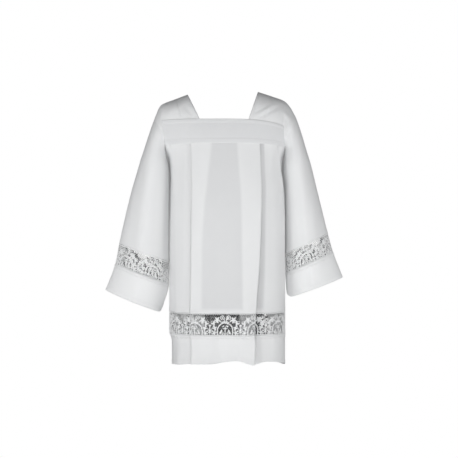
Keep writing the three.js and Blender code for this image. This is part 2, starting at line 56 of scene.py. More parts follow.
# ------------------------------------------------------------------ camera and light, in metres

VIEW_DISTANCE = 4.1
VIEW_WIDTH = 1.6717  # what the frame takes in at the garment
VIEW_ACROSS, VIEW_HEIGHT = 0.011, -0.471
SENSOR = 36.0
LIGHT_AIM = (0, 0, -0.6)
LIGHTS = table("name place size power", [
    ("front_light", (0.0, -3.4, -1.3), 2.0, 54), ("left_light", (-2.9, -2.4, -1.0), 1.8, 52),
    ("right_light", (3.0, -2.3, -1.0), 1.8, 44), ("back_light", (0.6, 3.9, -0.9), 2.2, 118),
])
SKY = (0.97, 0.98, 1.0, 1)
SKY_LIGHT = 0.21
WHITE = (1, 1, 1, 1)


def show(name, data):
    """Puts a mesh, a light or a camera into the scene."""
    thing = bpy.data.objects.new(name, data)
    bpy.context.scene.collection.objects.link(thing)
    return thing


def build_camera():
    data = bpy.data.cameras.new("camera")
    data.sensor_width = SENSOR
    data.lens = SENSOR * VIEW_DISTANCE / VIEW_WIDTH
    camera = show("camera", data)
    camera.location = (VIEW_ACROSS, -VIEW_DISTANCE, VIEW_HEIGHT)
    camera.rotation_euler = (math.radians(90), 0, 0)
    bpy.context.scene.camera = camera


def area_light(name, place, size, power):
    """A square soft light at a place, turned towards the garment."""
    data = bpy.data.lights.new(name, "AREA")
    data.shape = "SQUARE"
    data.size = size
    data.energy = power
    light = show(name, data)
    light.location = place
    light.rotation_euler = (Vector(LIGHT_AIM) - Vector(place)).to_track_quat("-Z", "Y").to_euler()


def add_node(tree, kind, **values):
    """A new shader node, with values set on its sockets."""
    node = tree.nodes.new("ShaderNode" + kind)
    for socket, value in values.items():
        node.inputs[socket].default_value = value
    return node


def seen_apart(tree, lit, seen):
    """Joins two shaders: the camera sees the second, and light meets the first."""
    path = add_node(tree, "LightPath")
    pick = add_node(tree, "MixShader")
    tree.links.new(path.outputs["Is Camera Ray"], pick.inputs["Fac"])
    tree.links.new(lit.outputs[0], pick.inputs[1])
    tree.links.new(seen.outputs[0], pick.inputs[2])
    return pick.outputs[0]


def build_world():
    """Pale surroundings that light the cloth weakly from all round, and are seen as plain white."""
    world = bpy.data.worlds.new("studio")
    bpy.context.scene.world = world
    world.use_nodes = True
    tree = world.node_tree
    tree.nodes.clear()
    lit = add_node(tree, "Background", Color=SKY, Strength=SKY_LIGHT)
    seen = add_node(tree, "Background", Color=WHITE, Strength=1.0)
    tree.links.new(seen_apart(tree, lit, seen), add_node(tree, "OutputWorld").inputs["Surface"])


build_camera()
for row in LIGHTS:
    area_light(**row)
build_world()
bpy.context.scene.view_settings.view_transform = "Standard"

# ------------------------------------------------------------------ tables

BODY = table("drop half middle front back", [
    (60, 258, -15, 103, 102),
    (82, 255, -13, 107, 106),
    (125, 243, -8, 116, 115),
    (166, 226, -4, 122, 121),
    (212, 211, -1, 125, 126),
    (262, 206, 1, 127, 130),
    (330, 208, 4, 128, 132),
    (500, 210, 4.5, 129, 136),
    (769, 211, 4.5, 132, 142),
    (840, 211, 4.5, 134, 144),
    (880, 206, 9, 135, 146),
    (960, 206, 9, 137, 149),
])
ARMHOLE = table("drop aside", [(79, 87), (125, 77), (162, 62), (186, 36), (202, 15), (212, 0.3)])
FRONT_BOX = table("drop under_left box_left box_right under_right top layer sink_left sink_right bow", [
    (154, -44, -121, 124, 43, -0.8, 3.4, 2, 1, 0),
    (212, -54, -122, 123, 44, 1, 3.5, 3, 2.5, 0),
    (330, -72, -123, 121, 48, 5, 3.8, 4, 5, 0),
    (400, -80, -124, 119, 50, 7, 4, 5, 7, 0),
    (560, -88, -125, 113, 52, 9, 4.4, 6, 10, 2),
    (769, -88, -126, 97, 54, 13, 5.6, 9, 14, 8),
    (960, -88, -126, 86, 42, 16, 7, 12, 16, 20),
])
SIDE_NAMES = "drop tuck_left side_left crease_left crease_right side_right tuck_right beside tucked"
FRONT_SIDES = table(SIDE_NAMES, [
    (154, -190, -201, -150, 143, 186, 176, -7.4, 4.4),
    (212, -196, -208, -146, 143, 206, 193, -5.8, 4.2),
    (330, -192, -210, -138, 142, 242, 220, -2.4, 4),
    (400, -182, -209, -135, 140, 252, 214, -0.8, 4.2),
    (560, -154, -200, -134, 138, 262, 182, 0, 4.6),
    (769, -148, -198, -134, 131, 264, 156, 0, 5.4),
    (960, -148, -198, -134, 126, 264, 156, -4, 6),
])
BACK_FOLDS = table("drop box_left under_left under_right box_right top layer sink beside bow", [
    (154, -124, -9, 9, 124, -0.8, 3.4, 1, -7.4, 0),
    (212, -124, -9, 9, 124, 1, 3.5, 1.2, -5.8, 0),
    (400, -122, -9, 9, 122, 6, 4, 3, -0.8, 0),
    (769, -118, -10, 10, 118, 13, 5.6, 6, 0, 2.5),
    (960, -114, -10, 10, 114, 16, 7, 8, -2, 3.5),
])
FRONT_HEM = table("across drop", [
    (0, 962), (0.14, 957), (0.28, 949), (0.4, 947), (0.55, 936), (0.66, 952), (0.74, 942), (1, 963)])
BACK_HEM = table("across drop", [(0, 962), (0.3, 952), (0.5, 945), (0.7, 952), (1, 963)])
OUTER = {
    -1: table("row out drop depth", [
        (0, 140, -18, 106), (1, 184, -1, 92), (2, 237, 22, 62), (3, 257, 62, 69), (4, 281, 130, 75),
        (5, 298, 182, 77), (6, 311, 220, 77), (7, 320, 250, 76), (8, 343, 328, 72), (9, 365, 416, 68),
        (10, 389, 524, 64), (11, 404, 599, 62), (12, 439, 693, 60)]),
    1: table("row out drop depth", [
        (0, 116.5, -28, 106), (1, 166, -12, 92), (2, 214, 6, 70), (3, 250, 56, 72), (4, 275, 124, 75),
        (5, 291, 178, 77), (6, 303, 216, 78), (7, 312, 246, 76), (8, 331, 324, 72), (9, 350, 400, 68),
        (10, 371, 486, 64), (11, 391, 556, 62), (12, 426, 647, 60)]),
}
INNER = {
    -1: table("row drop off", [
        (6, 240, 1.4), (7, 276, 1.4), (8, 374, 1.4), (9, 471, 1.6), (10, 590, 1.6), (11, 672, 3),
        (12, 774, 31)]),
    1: table("row drop off", [
        (6, 240, 1.4), (7, 276, 1.4), (8, 366, 1.4), (9, 452, 1.6), (10, 560, 1.6), (11, 632, 2.2),
        (12, 722, 7)]),
}
ROUNDNESS = table("row power", [(0, 2.25), (3, 2.25), (5, 2.15), (7, 1.92), (9, 1.65), (12, 1.5)])
YOKE_SINKS = {
    "front": table("drop left right", [(79, 2, 22), (166, 6, 12)]),
    "back": table("drop left right", [(79, 2, 6), (166, 2, 4)]),
}
SHOULDER_SEAM = table("row seam", [(0, 0), (1, 0.5), (2, 1), (3, 1.36), (4, 1.7), (5, 2)])

YOKE_TOP = 79
YOKE_BOTTOM = 166
PANEL_TOP = 154
LACE_TOP = 769
LACE_BOTTOM = 847
LOWEST = 950
UNDERARM = 212
UNDERARM_OUT = 1.5
YOKE_OUT = 2.2
YOKE_END_OUT = 1.5
YOKE_SHORT = 0.2
UNDER = 4.5  # how far a sleeve reaches in under the yoke
UNDER_OUT = 0.2
ARMHOLE_CLEAR = 0.6
ARMHOLE_STEP = 14  # a sleeve comes out from under the yoke over this drop
SEAM = 0.3
SEWN_GAP = 0.4
NECK = {-1: 78, 1: 91.5}
RING_POWER = 2.6
DOUBLED = 0.2  # the share of a box pleat's top that is doubled at each side
BESIDE = 26  # from the edge of the back's box pleat to where the cloth lies flat
VALLEY = 3  # from the edges of the front's box pleat to the lowest place beside them
TUCK_INSIDE = 14  # how far the cloth under a side tuck runs on past its edge
LACE_ROW, CUFF_ROW, EDGE_ROW, OPEN_ROWS = 10, 11, 12, 5  # rows of the sleeves' tables
UNTWIST_ROWS = 1.2  # over which the armhole's twist ends
CUFF_CORNER = {-1: 18, 1: 34}  # the lower inner corner of each cuff is rounded
CUFF_DEPTH = 100  # about what one row of the tables comes to there
ROLL, ROLL_ROWS = 3.2, 0.06  # the lower edge of a cuff rolls in
CLOTH = 0.9  # wall of the cloth


def mix(a, b, t):
    return a + (b - a) * t


def clamp(v, low=0.0, high=1.0):
    return min(high, max(low, v))


def ease(t):
    t = clamp(t)
    return t * t * (3 - 2 * t)


def read(rows, key, at):
    """Reads a table at a value of its key column, on a smooth curve through its rows."""
    keys = [row[key] for row in rows]
    i = min(max(bisect_right(keys, at) - 1, 0), len(rows) - 2)
    t = clamp((at - keys[i]) / (keys[i + 1] - keys[i]))
    step = keys[i + 1] - keys[i]

    def slope(k, name):
        return (rows[k + 1][name] - rows[k][name]) / (keys[k + 1] - keys[k])

    def lean(k, name):
        if k == 0:
            return slope(0, name)
        if k == len(rows) - 1:
            return slope(k - 1, name)
        s, u = slope(k - 1, name), slope(k, name)
        return 0 if s * u <= 0 else 2 * s * u / (s + u)

    found = {}
    for name in rows[i]:
        value = mix(rows[i][name], rows[i + 1][name], ease(t))
        value += step * t * (1 - t) * ((1 - t) * lean(i, name) - t * lean(i + 1, name))
        found[name] = value
    return found


# ------------------------------------------------------------------ the body's form

RING_STEPS = 160
TINY = 1e-6


class Ring:
    """The body's plan curve at one drop, measured from the centre front."""

    def __init__(self, drop):
        found = read(BODY, "drop", drop)
        self.half, self.middle = found["half"], found["middle"]
        self.front, self.back = found["front"], found["back"]
        points = [self.at(math.pi * i / RING_STEPS, 1)[:2] for i in range(RING_STEPS + 1)]
        self.walked = [0.0]
        for a, b in zip(points, points[1:]):
            self.walked.append(self.walked[-1] + math.hypot(b[0] - a[0], b[1] - a[1]))
        self.whole = self.walked[-1]
        self.side = self.walked[RING_STEPS // 2]

    def at(self, turn, way):
        s, c = math.sin(turn), math.cos(turn)
        depth = self.front if c > 0 else self.back
        x = way * self.half * abs(s) ** (2 / RING_POWER)
        y = -math.copysign(1, c) * depth * abs(c) ** (2 / RING_POWER)
        nx = math.copysign(abs(x / self.half) ** (RING_POWER - 1), x) / self.half
        ny = math.copysign(abs(y / depth) ** (RING_POWER - 1), y) / depth
        size = math.hypot(nx, ny)
        return x + self.middle, y, nx / size, ny / size

    def place(self, along):
        far = min(abs(along), self.whole - TINY)
        i = min(bisect_right(self.walked, far) - 1, RING_STEPS - 1)
        t = (far - self.walked[i]) / (self.walked[i + 1] - self.walked[i])
        return self.at(math.pi * (i + t) / RING_STEPS, -1 if along < 0 else 1)


@lru_cache(maxsize=None)
def ring(drop):
    return Ring(drop)


def body_point(drop, along, out=0.0):
    x, y, nx, ny = ring(drop).place(along)
    return Vector((x + nx * out, y + ny * out, -drop))


def face_point(face, drop, along, out):
    if face == "front":
        return body_point(drop, along, out)
    return body_point(drop, math.copysign(ring(drop).whole - abs(along), along or 1), out)


def to_side(face, drop):
    return ring(drop).side if face == "front" else ring(drop).whole - ring(drop).side


def to_edge(face, drop):
    return to_side(face, drop) - read(ARMHOLE, "drop", min(drop, UNDERARM))["aside"]


FOLD_STEPS = 8


def fold(along, before, after, way):
    """Half a turn of cloth from one layer to the next."""
    radius = abs(after - before) / 2
    turns = [math.pi * k / FOLD_STEPS for k in range(FOLD_STEPS + 1)]
    return [(along + way * radius * math.sin(t), mix(before, after, (1 - math.cos(t)) / 2)) for t in turns]


def sag(t):
    """How the top of a box pleat falls back between its doubled edges."""
    return math.sin(math.pi * clamp((t - DOUBLED) / (1 - 2 * DOUBLED))) ** 2


ROUNDED = 5  # columns over which a crease is softened
SOFTENINGS = 14


def thread(items, steps, top, bow):
    """Joins folds and single points into one line of cloth, softening it at the single points."""
    line, soft = [], []
    for i, item in enumerate(items):
        if len(item) == 1 and 0 < i < len(items) - 1:
            soft.append(len(line))
        line.extend(item)
        if i == len(items) - 1:
            break
        a, b = item[-1], items[i + 1][0]
        for k in range(1, steps[i]):
            t = k / steps[i]
            lower = bow * sag(t) if i == top else 0
            line.append((mix(a[0], b[0], t), mix(a[1], b[1], t) - lower))
    for _ in range(SOFTENINGS):
        outs = [p[1] for p in line]
        for middle in soft:
            for i in range(max(middle - ROUNDED, 1), min(middle + ROUNDED + 1, len(line) - 1)):
                line[i] = (line[i][0], (outs[i - 1] + 2 * outs[i] + outs[i + 1]) / 4)
    return line


# Columns from each fold to the next. The top of the box pleat is stretch FRONT_TOP or BACK_TOP.
FRONT_STEPS = [12, 10, 10, 12, 5, 12, 10, 44, 14, 16, 8, 22, 22, 20, 8]
BACK_STEPS = [30, 18, 18, 40, 18, 18, 30]
FRONT_TOP, BACK_TOP = 7, 3


def front_folds(drop):
    return {**read(FRONT_BOX, "drop", drop), **read(FRONT_SIDES, "drop", drop)}


@lru_cache(maxsize=None)
def front_line(drop):
    f = front_folds(drop)
    edge = to_edge("front", drop)
    low, middle, tucked = f["top"] - 2 * f["layer"], f["top"] - f["layer"], f["tucked"]
    items = [
        [(-edge, 0)],
        [(f["side_left"] - TUCK_INSIDE, -2 * tucked)],
        fold(f["tuck_left"], -2 * tucked, -tucked, 1),
        fold(f["side_left"], -tucked, 0, -1),
        [(f["crease_left"], f["beside"])],
        [(f["box_left"] - VALLEY, low - f["sink_left"])],
        fold(f["under_left"], low - f["sink_left"], middle, 1),
        fold(f["box_left"], middle, f["top"], -1),
        fold(f["box_right"], f["top"], middle, 1),
        fold(f["under_right"], middle, low - f["sink_right"], -1),
        [(f["box_right"] + VALLEY, low - f["sink_right"])],
        [(f["crease_right"], f["beside"])],
        fold(f["side_right"], 0, -tucked, 1),
        fold(f["tuck_right"], -tucked, -2 * tucked, -1),
        [(f["side_right"] + TUCK_INSIDE, -2 * tucked)],
        [(edge, 0)],
    ]
    return thread(items, FRONT_STEPS, FRONT_TOP, f["bow"])


@lru_cache(maxsize=None)
def back_line(drop):
    f = read(BACK_FOLDS, "drop", drop)
    edge = to_edge("back", drop)
    low, middle = f["top"] - 2 * f["layer"], f["top"] - f["layer"]
    items = [
        [(-edge, 0)],
        [(f["box_left"] - BESIDE, f["beside"])],
        fold(f["under_left"], low - f["sink"], middle, 1),
        fold(f["box_left"], middle, f["top"], -1),
        fold(f["box_right"], f["top"], middle, 1),
        fold(f["under_right"], middle, low - f["sink"], -1),
        [(f["box_right"] + BESIDE, f["beside"])],
        [(edge, 0)],
    ]
    return thread(items, BACK_STEPS, BACK_TOP, f["bow"])


def line_of(face, drop):
    return front_line(drop) if face == "front" else back_line(drop)


# ------------------------------------------------------------------ creases

BEYOND = 0.25  # how far a crease fades out past its ends, as a share of its length
FARTHEST = 3  # and to its sides, in half widths
# Soft ridges (height above 0) and troughs, each along a line seen from the front or the back:
# its two ends, half its width, and its height, which fades towards both ends.
BODY_CREASES = {
    "front": table("x0 z0 x1 z1 wide high", [
        (-92, -170, -100, -560, 16, 1.6), (60, -172, 52, -470, 14, 1.2), (-20, -260, -34, -740, 26, -1.6),
        (24, -330, 34, -700, 20, 1.4), (-168, -180, -176, -420, 12, -1.8), (176, -170, 158, -330, 16, 2.6),
        (150, -210, 170, -600, 18, -1.8), (-150, -420, -158, -760, 14, 1.4),
        (190, -420, 184, -740, 16, 1.6), (-60, -600, -72, -830, 18, -1.5), (70, -560, 84, -840, 16, 1.3),
        (8, -770, 2, -930, 22, 2.2), (-176, -800, -170, -940, 12, 1.6), (150, -790, 156, -940, 14, -2.0),
    ]),
    "back": table("x0 z0 x1 z1 wide high", [
        (-88, -172, -96, -600, 16, 1.8), (80, -170, 90, -520, 16, 1.6), (10, -260, 22, -740, 26, -2.0),
        (-30, -300, -44, -700, 20, 1.4), (160, -180, 172, -460, 14, -1.8),
        (-164, -180, -172, -500, 14, -1.6), (-150, -500, -160, -800, 14, 1.6),
        (176, -480, 180, -820, 14, 1.6), (40, -700, 30, -930, 20, 2.0),
    ]),
}
SLEEVE_CREASES = {
    -1: table("x0 z0 x1 z1 wide high", [
        (-150, -28, -116, -70, 9, -2.2), (-176, -24, -214, -70, 13, 1.8), (-150, -8, -172, -52, 10, 1.6),
        (-262, -150, -300, -430, 20, 3.0), (-240, -200, -262, -560, 14, -2.4),
        (-320, -330, -356, -600, 16, -1.8), (-224, -300, -236, -640, 9, 2.0),
        (-300, -430, -330, -720, 18, 1.8), (-226, -120, -236, -230, 8, -2.6),
    ]),
    1: table("x0 z0 x1 z1 wide high", [
        (112, -66, 172, -26, 8, 2.8), (122, -74, 196, -28, 7, -3.0), (100, -60, 146, -32, 7, -2.2),
        (206, -48, 234, -86, 9, 3.0), (238, -90, 244, -300, 9, 2.6), (222, -100, 228, -240, 8, -3.2),
        (262, -150, 284, -480, 18, 2.4), (248, -300, 286, -640, 13, -3.4), (300, -330, 340, -600, 16, 1.8),
        (330, -470, 366, -640, 15, -1.8), (236, -420, 246, -680, 9, 2.0), (287, -610, 291, -730, 14, -3.6),
    ]),
}


def crease_height(creases, x, z):
    """Height of the creases at a place seen from the front or the back."""
    total = 0.0
    for c in creases:
        dx, dz = c["x1"] - c["x0"], c["z1"] - c["z0"]
        t = ((x - c["x0"]) * dx + (z - c["z0"]) * dz) / (dx * dx + dz * dz)
        if -BEYOND < t < 1 + BEYOND:
            off = ((x - c["x0"] - t * dx) ** 2 + (z - c["z0"] - t * dz) ** 2) / c["wide"] ** 2
            if off < FARTHEST ** 2:
                fading = math.sin(math.pi * (t + BEYOND) / (1 + 2 * BEYOND)) ** 2
                total += c["high"] * math.exp(-off) * fading
    return total


SIDE_FADE, TOP_FADE = 40, 30  # the body's creases fade out towards its sides and the yoke


def body_out(face, drop, along):
    """How far the creases move the body's cloth out; the same for all the layers of a pleat."""
    x = ring(drop).middle + along
    edge = to_side(face, drop)
    fade = ease((edge - abs(along)) / SIDE_FADE) * ease((drop - YOKE_BOTTOM) / TOP_FADE)
    return crease_height(BODY_CREASES[face], x, -drop) * fade if fade else 0.0


def creased_point(face, drop, along, out):
    return face_point(face, drop, along, out + body_out(face, drop, along))


def panel_grid(face, drops):
    return [[creased_point(face, drop, *place) for place in line_of(face, drop)] for drop in drops]


def hem_grid(face, shares):
    edge = FRONT_HEM if face == "front" else BACK_HEM
    top = LACE_BOTTOM + SEAM / 2
    grid = []
    for share in shares:
        near = mix(top, LOWEST, share)
        reach = to_edge(face, near)
        row = []
        for i, (along, _) in enumerate(line_of(face, near)):
            low = read(edge, "across", clamp((along / reach + 1) / 2))["drop"]
            drop = round(mix(top, low, share), 1)
            row.append(creased_point(face, drop, *line_of(face, drop)[i]))
        grid.append(row)
    return grid


def yoke_sinks(face, side, drop, share):
    """How far the yoke sinks at a drop, and at a share of the way from its centre to one end."""
    return read(YOKE_SINKS[face], "drop", drop)["left" if side < 0 else "right"] * share ** 3


def yoke_grid(face, drops, columns):
    grid = []
    for drop in drops:
        row = []
        for k in range(columns + 1):
            share = 2 * k / columns - 1
            reach = to_edge(face, round(drop + yoke_sinks(face, share, drop, 1), 3)) - YOKE_SHORT
            low = round(drop + yoke_sinks(face, share, drop, abs(share)), 3)
            row.append(face_point(face, low, share * reach, mix(YOKE_OUT, YOKE_END_OUT, share ** 6)))
        grid.append(row)
    return grid


# ------------------------------------------------------------------ the sleeves' form

SECTION_STEPS = 120
SLEEVE_COLUMNS = 96
LEAST_DEPTH = 1.001  # of a section, against the width of its opening
SLEEVE_FADE = 25  # the sleeves' creases fade out towards the ridge and the inner seam
NECK_ROWS, NECK_FADE = 0.6, 0.3  # and towards the neck
CREASES_ASIDE = 14  # at a sleeve's back they lie further in


def seam_ends(side, seam):
    """The front and back lower ends of an open row, clear of the yoke and of the armhole."""
    share = clamp(seam - 1)
    start = YOKE_TOP + UNDER
    ends = []
    for face in ("front", "back"):
        corner = start + yoke_sinks(face, side, YOKE_TOP, 1)
        drop = mix(corner, UNDERARM, share)
        clear = mix(-UNDER, ARMHOLE_CLEAR, ease((drop - PANEL_TOP + ARMHOLE_STEP) / ARMHOLE_STEP))
        edge = min(to_edge(face, max(drop, YOKE_TOP)) + clear, to_side(face, drop) - SEWN_GAP)
        if seam >= 1:
            ends.append(face_point(face, drop, side * edge, mix(UNDER_OUT, UNDERARM_OUT, share ** 3)))
        else:
            along = mix(NECK[side], edge, seam)
            drop = start + yoke_sinks(face, side, YOKE_TOP, along / edge)
            ends.append(face_point(face, drop, side * along, UNDER_OUT))
    return ends


def power(value, degree):
    return math.copysign(abs(value) ** (2 / degree), value)


def body_reach(side, drop):
    found = read(BODY, "drop", drop)
    return found["half"] + side * found["middle"]


@lru_cache(maxsize=None)
def section(side, row):
    """A sleeve's cross-section: its points from the front seam over the ridge to the back seam, and how far
    along it each lies."""
    outer = read(OUTER[side], "row", row)
    degree = read(ROUNDNESS, "row", row)["power"]
    ridge = Vector((side * outer["out"], 0, -outer["drop"]))
    ends = seam_ends(side, read(SHOULDER_SEAM, "row", min(row, OPEN_ROWS))["seam"])
    if row > OPEN_ROWS:
        drop = -ends[0].z
        first = {"row": OPEN_ROWS, "drop": drop, "off": abs(ends[0].x) - body_reach(side, drop)}
        inner = read([first] + INNER[side], "row", row)
        out = body_reach(side, inner["drop"]) + inner["off"]
        ends = [Vector((side * out, way * SEWN_GAP, -inner["drop"])) for way in (-1, 1)]
    low = (ends[0] + ends[1]) / 2
    across = (ends[0] - ends[1]) / 2
    half = across.length
    depth = max(outer["depth"], half * LEAST_DEPTH)
    across.z *= ease((OPEN_ROWS - row) / UNTWIST_ROWS)
    across.normalize()
    opened = math.asin((half / depth) ** (degree / 2))
    reach = opened if row < 1 else math.pi - opened
    to_ridge = (ridge - low) / (1 - power(math.cos(reach), degree))
    centre = ridge - to_ridge
    curve = []
    for k in range(SECTION_STEPS + 1):
        turn = mix(reach, -reach, k / SECTION_STEPS)
        curve.append(
            centre + to_ridge * power(math.cos(turn), degree)
            + across * (depth * power(math.sin(turn), degree)))
    walked = [0.0]
    for a, b in zip(curve, curve[1:]):
        walked.append(walked[-1] + (b - a).length)
    return curve, walked


def section_point(side, row, share):
    curve, walked = section(side, row)
    far = clamp(share) * walked[-1]
    i = min(max(bisect_right(walked, far) - 1, 0), len(curve) - 2)
    return curve[i].lerp(curve[i + 1], (far - walked[i]) / (walked[i + 1] - walked[i]))


def corner_lift(side, row, share, whole):
    """How many rows higher a place lies near the rounded inner corner of a cuff."""
    near = clamp(min(share, 1 - share) * whole / CUFF_CORNER[side])
    raised = CUFF_CORNER[side] * (1 - math.sqrt(1 - (1 - near) ** 2))
    return raised / CUFF_DEPTH * clamp((row - CUFF_ROW) / (EDGE_ROW - CUFF_ROW))


def sleeve_grid(side, rows, start=0.0, stop=1.0, columns=SLEEVE_COLUMNS):
    grid = []
    for row in rows:
        whole = section(side, row)[1][-1]
        trim = SEWN_GAP / whole
        a = start + trim if start > 0 else 0
        b = stop - trim if stop < 1 else 1
        line = []
        for k in range(columns + 1):
            share = mix(a, b, k / columns)
            line.append(section_point(side, row - corner_lift(side, row, share, whole), share))
        grid.append(line)
    normals = normals_of(grid, side < 0)
    for r, row in enumerate(grid):
        near = clamp(1 - (EDGE_ROW - rows[r]) / ROLL_ROWS)
        rolled = ROLL * (1 - math.sqrt(1 - near * near))
        for c, point in enumerate(row):
            fade = ease(abs(point.y) / SLEEVE_FADE) * ease(rows[r] / NECK_ROWS + NECK_FADE)
            if fade:
                x = point.x if point.y < 0 else point.x + side * CREASES_ASIDE
                out = crease_height(SLEEVE_CREASES[side], x, point.z) - rolled
                row[c] = point + normals[r][c] * out * fade
    return grid


# ------------------------------------------------------------------ meshes


def normals_of(grid, flip):
    """Outward normals of a grid of points."""
    rows, columns = len(grid), len(grid[0])
    found = []
    for r in range(rows):
        up, down = grid[max(r - 1, 0)], grid[min(r + 1, rows - 1)]
        line = []
        for c in range(columns):
            on = grid[r][min(c + 1, columns - 1)] - grid[r][max(c - 1, 0)]
            normal = (down[c] - up[c]).cross(on).normalized()
            line.append(-normal if flip else normal)
        found.append(line)
    return found


def lengths_of(grid):
    """Each point's place on its cloth: the length along its row, and down its column, in millimetres."""
    middle = len(grid) // 2
    along = [0.0]
    for a, b in zip(grid[middle], grid[middle][1:]):
        along.append(along[-1] + (b - a).length)
    down = [0.0]
    column = len(grid[0]) // 2
    for r in range(1, len(grid)):
        down.append(down[-1] + (grid[r][column] - grid[r - 1][column]).length)
    return along, down


def link_mesh(name, points, faces, material, uvs=None, unshaded=None):
    """A piece from points in millimetres, with its place on the cloth as its UV map."""
    mesh = bpy.data.meshes.new(name)
    mesh.from_pydata([p * MM for p in points], [], faces)
    if uvs:
        layer = mesh.uv_layers.new(name="cloth")
        flat = [0.0] * (2 * len(mesh.loops))
        for i, loop in enumerate(mesh.loops):
            u, v = uvs[loop.vertex_index]
            flat[2 * i] = u * MM
            flat[2 * i + 1] = v * MM
        layer.data.foreach_set("uv", flat)
    # painted shade, as a value on each point: 0 where single cloth and the valley beside the pleat are
    # darkened
    if unshaded:
        mesh.attributes.new("unshaded", "FLOAT", "POINT").data.foreach_set("value", unshaded)
    mesh.polygons.foreach_set("use_smooth", [True] * len(mesh.polygons))
    mesh.materials.append(material)
    mesh.update()
    return show(name, mesh)


def shell(name, grid, flip, material, rise, unshaded, inner):
    """A closed thin wall about a grid. rise gives how far the outer face stands proud of each row. The value
    given for each point runs from 1, where other layers lie behind it, down to 0, and is painted shade:
    towards 0 the colour is darkened, for the dark inside seen through single cloth and for the pleat's shadow
    in the valley beside it. inner is the material of the inner face."""
    normals = normals_of(grid, flip)
    rows, columns = len(grid), len(grid[0])
    along, down = lengths_of(grid)
    points, uvs, unshaded_values = [], [], []
    for outer in (True, False):
        for r in range(rows):
            lift = CLOTH / 2 + rise(r) if outer else -CLOTH / 2
            for c in range(columns):
                points.append(grid[r][c] + normals[r][c] * lift)
                uvs.append((along[c], -down[r]))
                unshaded_values.append(unshaded(r, c) if unshaded else 1.0)
    half = rows * columns
    faces = []

    def at(r, c, inside=False):
        return (half if inside else 0) + r * columns + c

    def quad(a, b, c, d):
        faces.append((a, d, c, b) if flip else (a, b, c, d))

    def rim(a, b):
        quad(at(*a), at(*b), at(*b, True), at(*a, True))

    last, end = rows - 1, columns - 1
    for r in range(last):
        for c in range(end):
            quad(at(r, c), at(r + 1, c), at(r + 1, c + 1), at(r, c + 1))
            quad(at(r, c, True), at(r, c + 1, True), at(r + 1, c + 1, True), at(r + 1, c, True))
    for c in range(end):
        rim((0, c), (0, c + 1))
        rim((last, c + 1), (last, c))
    for r in range(last):
        rim((r + 1, 0), (r, 0))
        rim((r, end), (r + 1, end))
    piece = link_mesh(name, points, faces, material, uvs, unshaded_values)
    piece.data.materials.append(inner)
    for polygon in piece.data.polygons:
        polygon.material_index = int(min(polygon.vertices) >= half)
    return piece


# ------------------------------------------------------------------ lace

LACE_REPEAT = 109
LACE_CELLS = 72  # cells along one repeat of the pattern
CELL = LACE_REPEAT / LACE_CELLS
LACE_HALF = 39  # half the depth of the band
LACE_ROWS = 52
BAND_MARGIN = 1  # the pattern stops this far from the ends of the band
HEADING = 36.2  # the solid strips along the band's edges begin this far from its middle
NO_NEARER = 0.12  # how near an edge of the pattern comes to the corners of its cells
RELIEF = 0.75  # height of the thick parts of the pattern
RELIEF_SLOPE = 1.8  # they rise over this distance from their edges
LACE_FRONT, LACE_BACK = 0.15, -0.35  # the two faces of the lace, about the middle of the cloth
NET_PITCH = LACE_REPEAT / 17
NET_UNDER = 0.1  # threads deeper than this in the solid parts are left out
NET_THREAD = {"front": 0.62, "back": 1.2, "sleeve": 0.85}  # widths of the threads of the net
NET_HIDDEN = 3.1  # and in the layers folded behind others
LAYER_WIDE, LAYER_APART = 3, 2  # what tells one layer from another behind it
OUTMOST = 10  # how much more a place across counts than one outwards, in finding the outmost layer
THREAD_HALF = 0.4  # half the height of a thread
SHORTEST = 0.5
SEAM_WIDE = 2.8  # the seams at the ends of a band
SEAM_STEPS = 8
SEAM_INSET = 0.9
EDGING_PITCH = 18.2  # the scallops above the hems and the cuffs
EDGING_START = 19.28
EDGING_SPARE = 12
EDGING_TOP = 3.5
EDGING_DRAWN = 1.25
EDGING_STEPS = 8
EDGING_ARCS = [(8.2, 1.5), (4.4, 1.2)]  # radius, and width of the thread
EDGING_LIFT = CLOTH / 2 + 0.35

# One half of a repeat of the pattern, from its middle. Thick threads, each from one place to another.
THREADS = table("x0 y0 x1 y1 wide", [
    (27.2, -21, 27.2, -37, 4.2), (0, -37, 0, -7, 3.4), (0, -14.5, 7.6, -14.5, 3.4), (0, 5, 3.2, 14, 2.6),
    (3.2, 14, 4.6, 22, 2.6), (3.5, 11, 12, 8, 2.4), (12, 8, 20, 11, 2.4), (26, 12, 34, 20, 2.0),
    (25, 5, 27, 12, 2.2), (31, 10, 40, 4, 2.2), (40, 4, 37, -11, 2.2), (37, -11, 37, -37, 2.2),
    (29, -26, 37, -30, 2.0), (54.5, -34, 54.5, -10, 3.2), (45, -33, 54.5, -23, 2.2),
    (54.5, -23, 45, -12, 2.2), (45, -12, 40, 2, 1.8), (54.5, -10, 50, -3, 2.0), (9, -37, 12, -33, 2.2),
    (45, -37, 45, -33, 2.2),
])
# Bent threads: a centre, a radius, a width, and the directions where they begin and end, in degrees.
RINGS = table("x y radius wide start stop", [
    (0, -21, 27.2, 4.2, 0, 180), (11.4, 24, 6.8, 2.6, -90, 250), (11.4, 23.4, 1.6, 3.0, 0, 360),
    (46.5, 8, 4.4, 2.0, -60, 200),
])
# Leaves and petals: a centre, a size, how far it is drawn out, its tilt in degrees, and its lobes.
LEAVES = table("x y size drawn tilt lobes depth", [
    (28.5, 16.5, 8.0, 1.15, 40, 5, 0.42), (42, 4.5, 5.2, 1.3, -20, 3, 0.4),
    (36.5, -11.5, 5.6, 1.2, 25, 4, 0.4), (39, -28.5, 5.6, 1.15, -30, 5, 0.42),
    (13.8, -25, 3.2, 2.4, -12, 2, 0.1), (7.4, -30, 2.0, 2.4, 8, 2, 0.1), (46.5, -22.5, 2.6, 1.5, 90, 4, 0.25),
    (18.6, -30, 1.9, 2.4, -6, 2, 0.1), (7, -6.5, 2.6, 1.5, -50, 2, 0.1), (54.5, -2, 3.0, 1.3, 90, 4, 0.2),
])


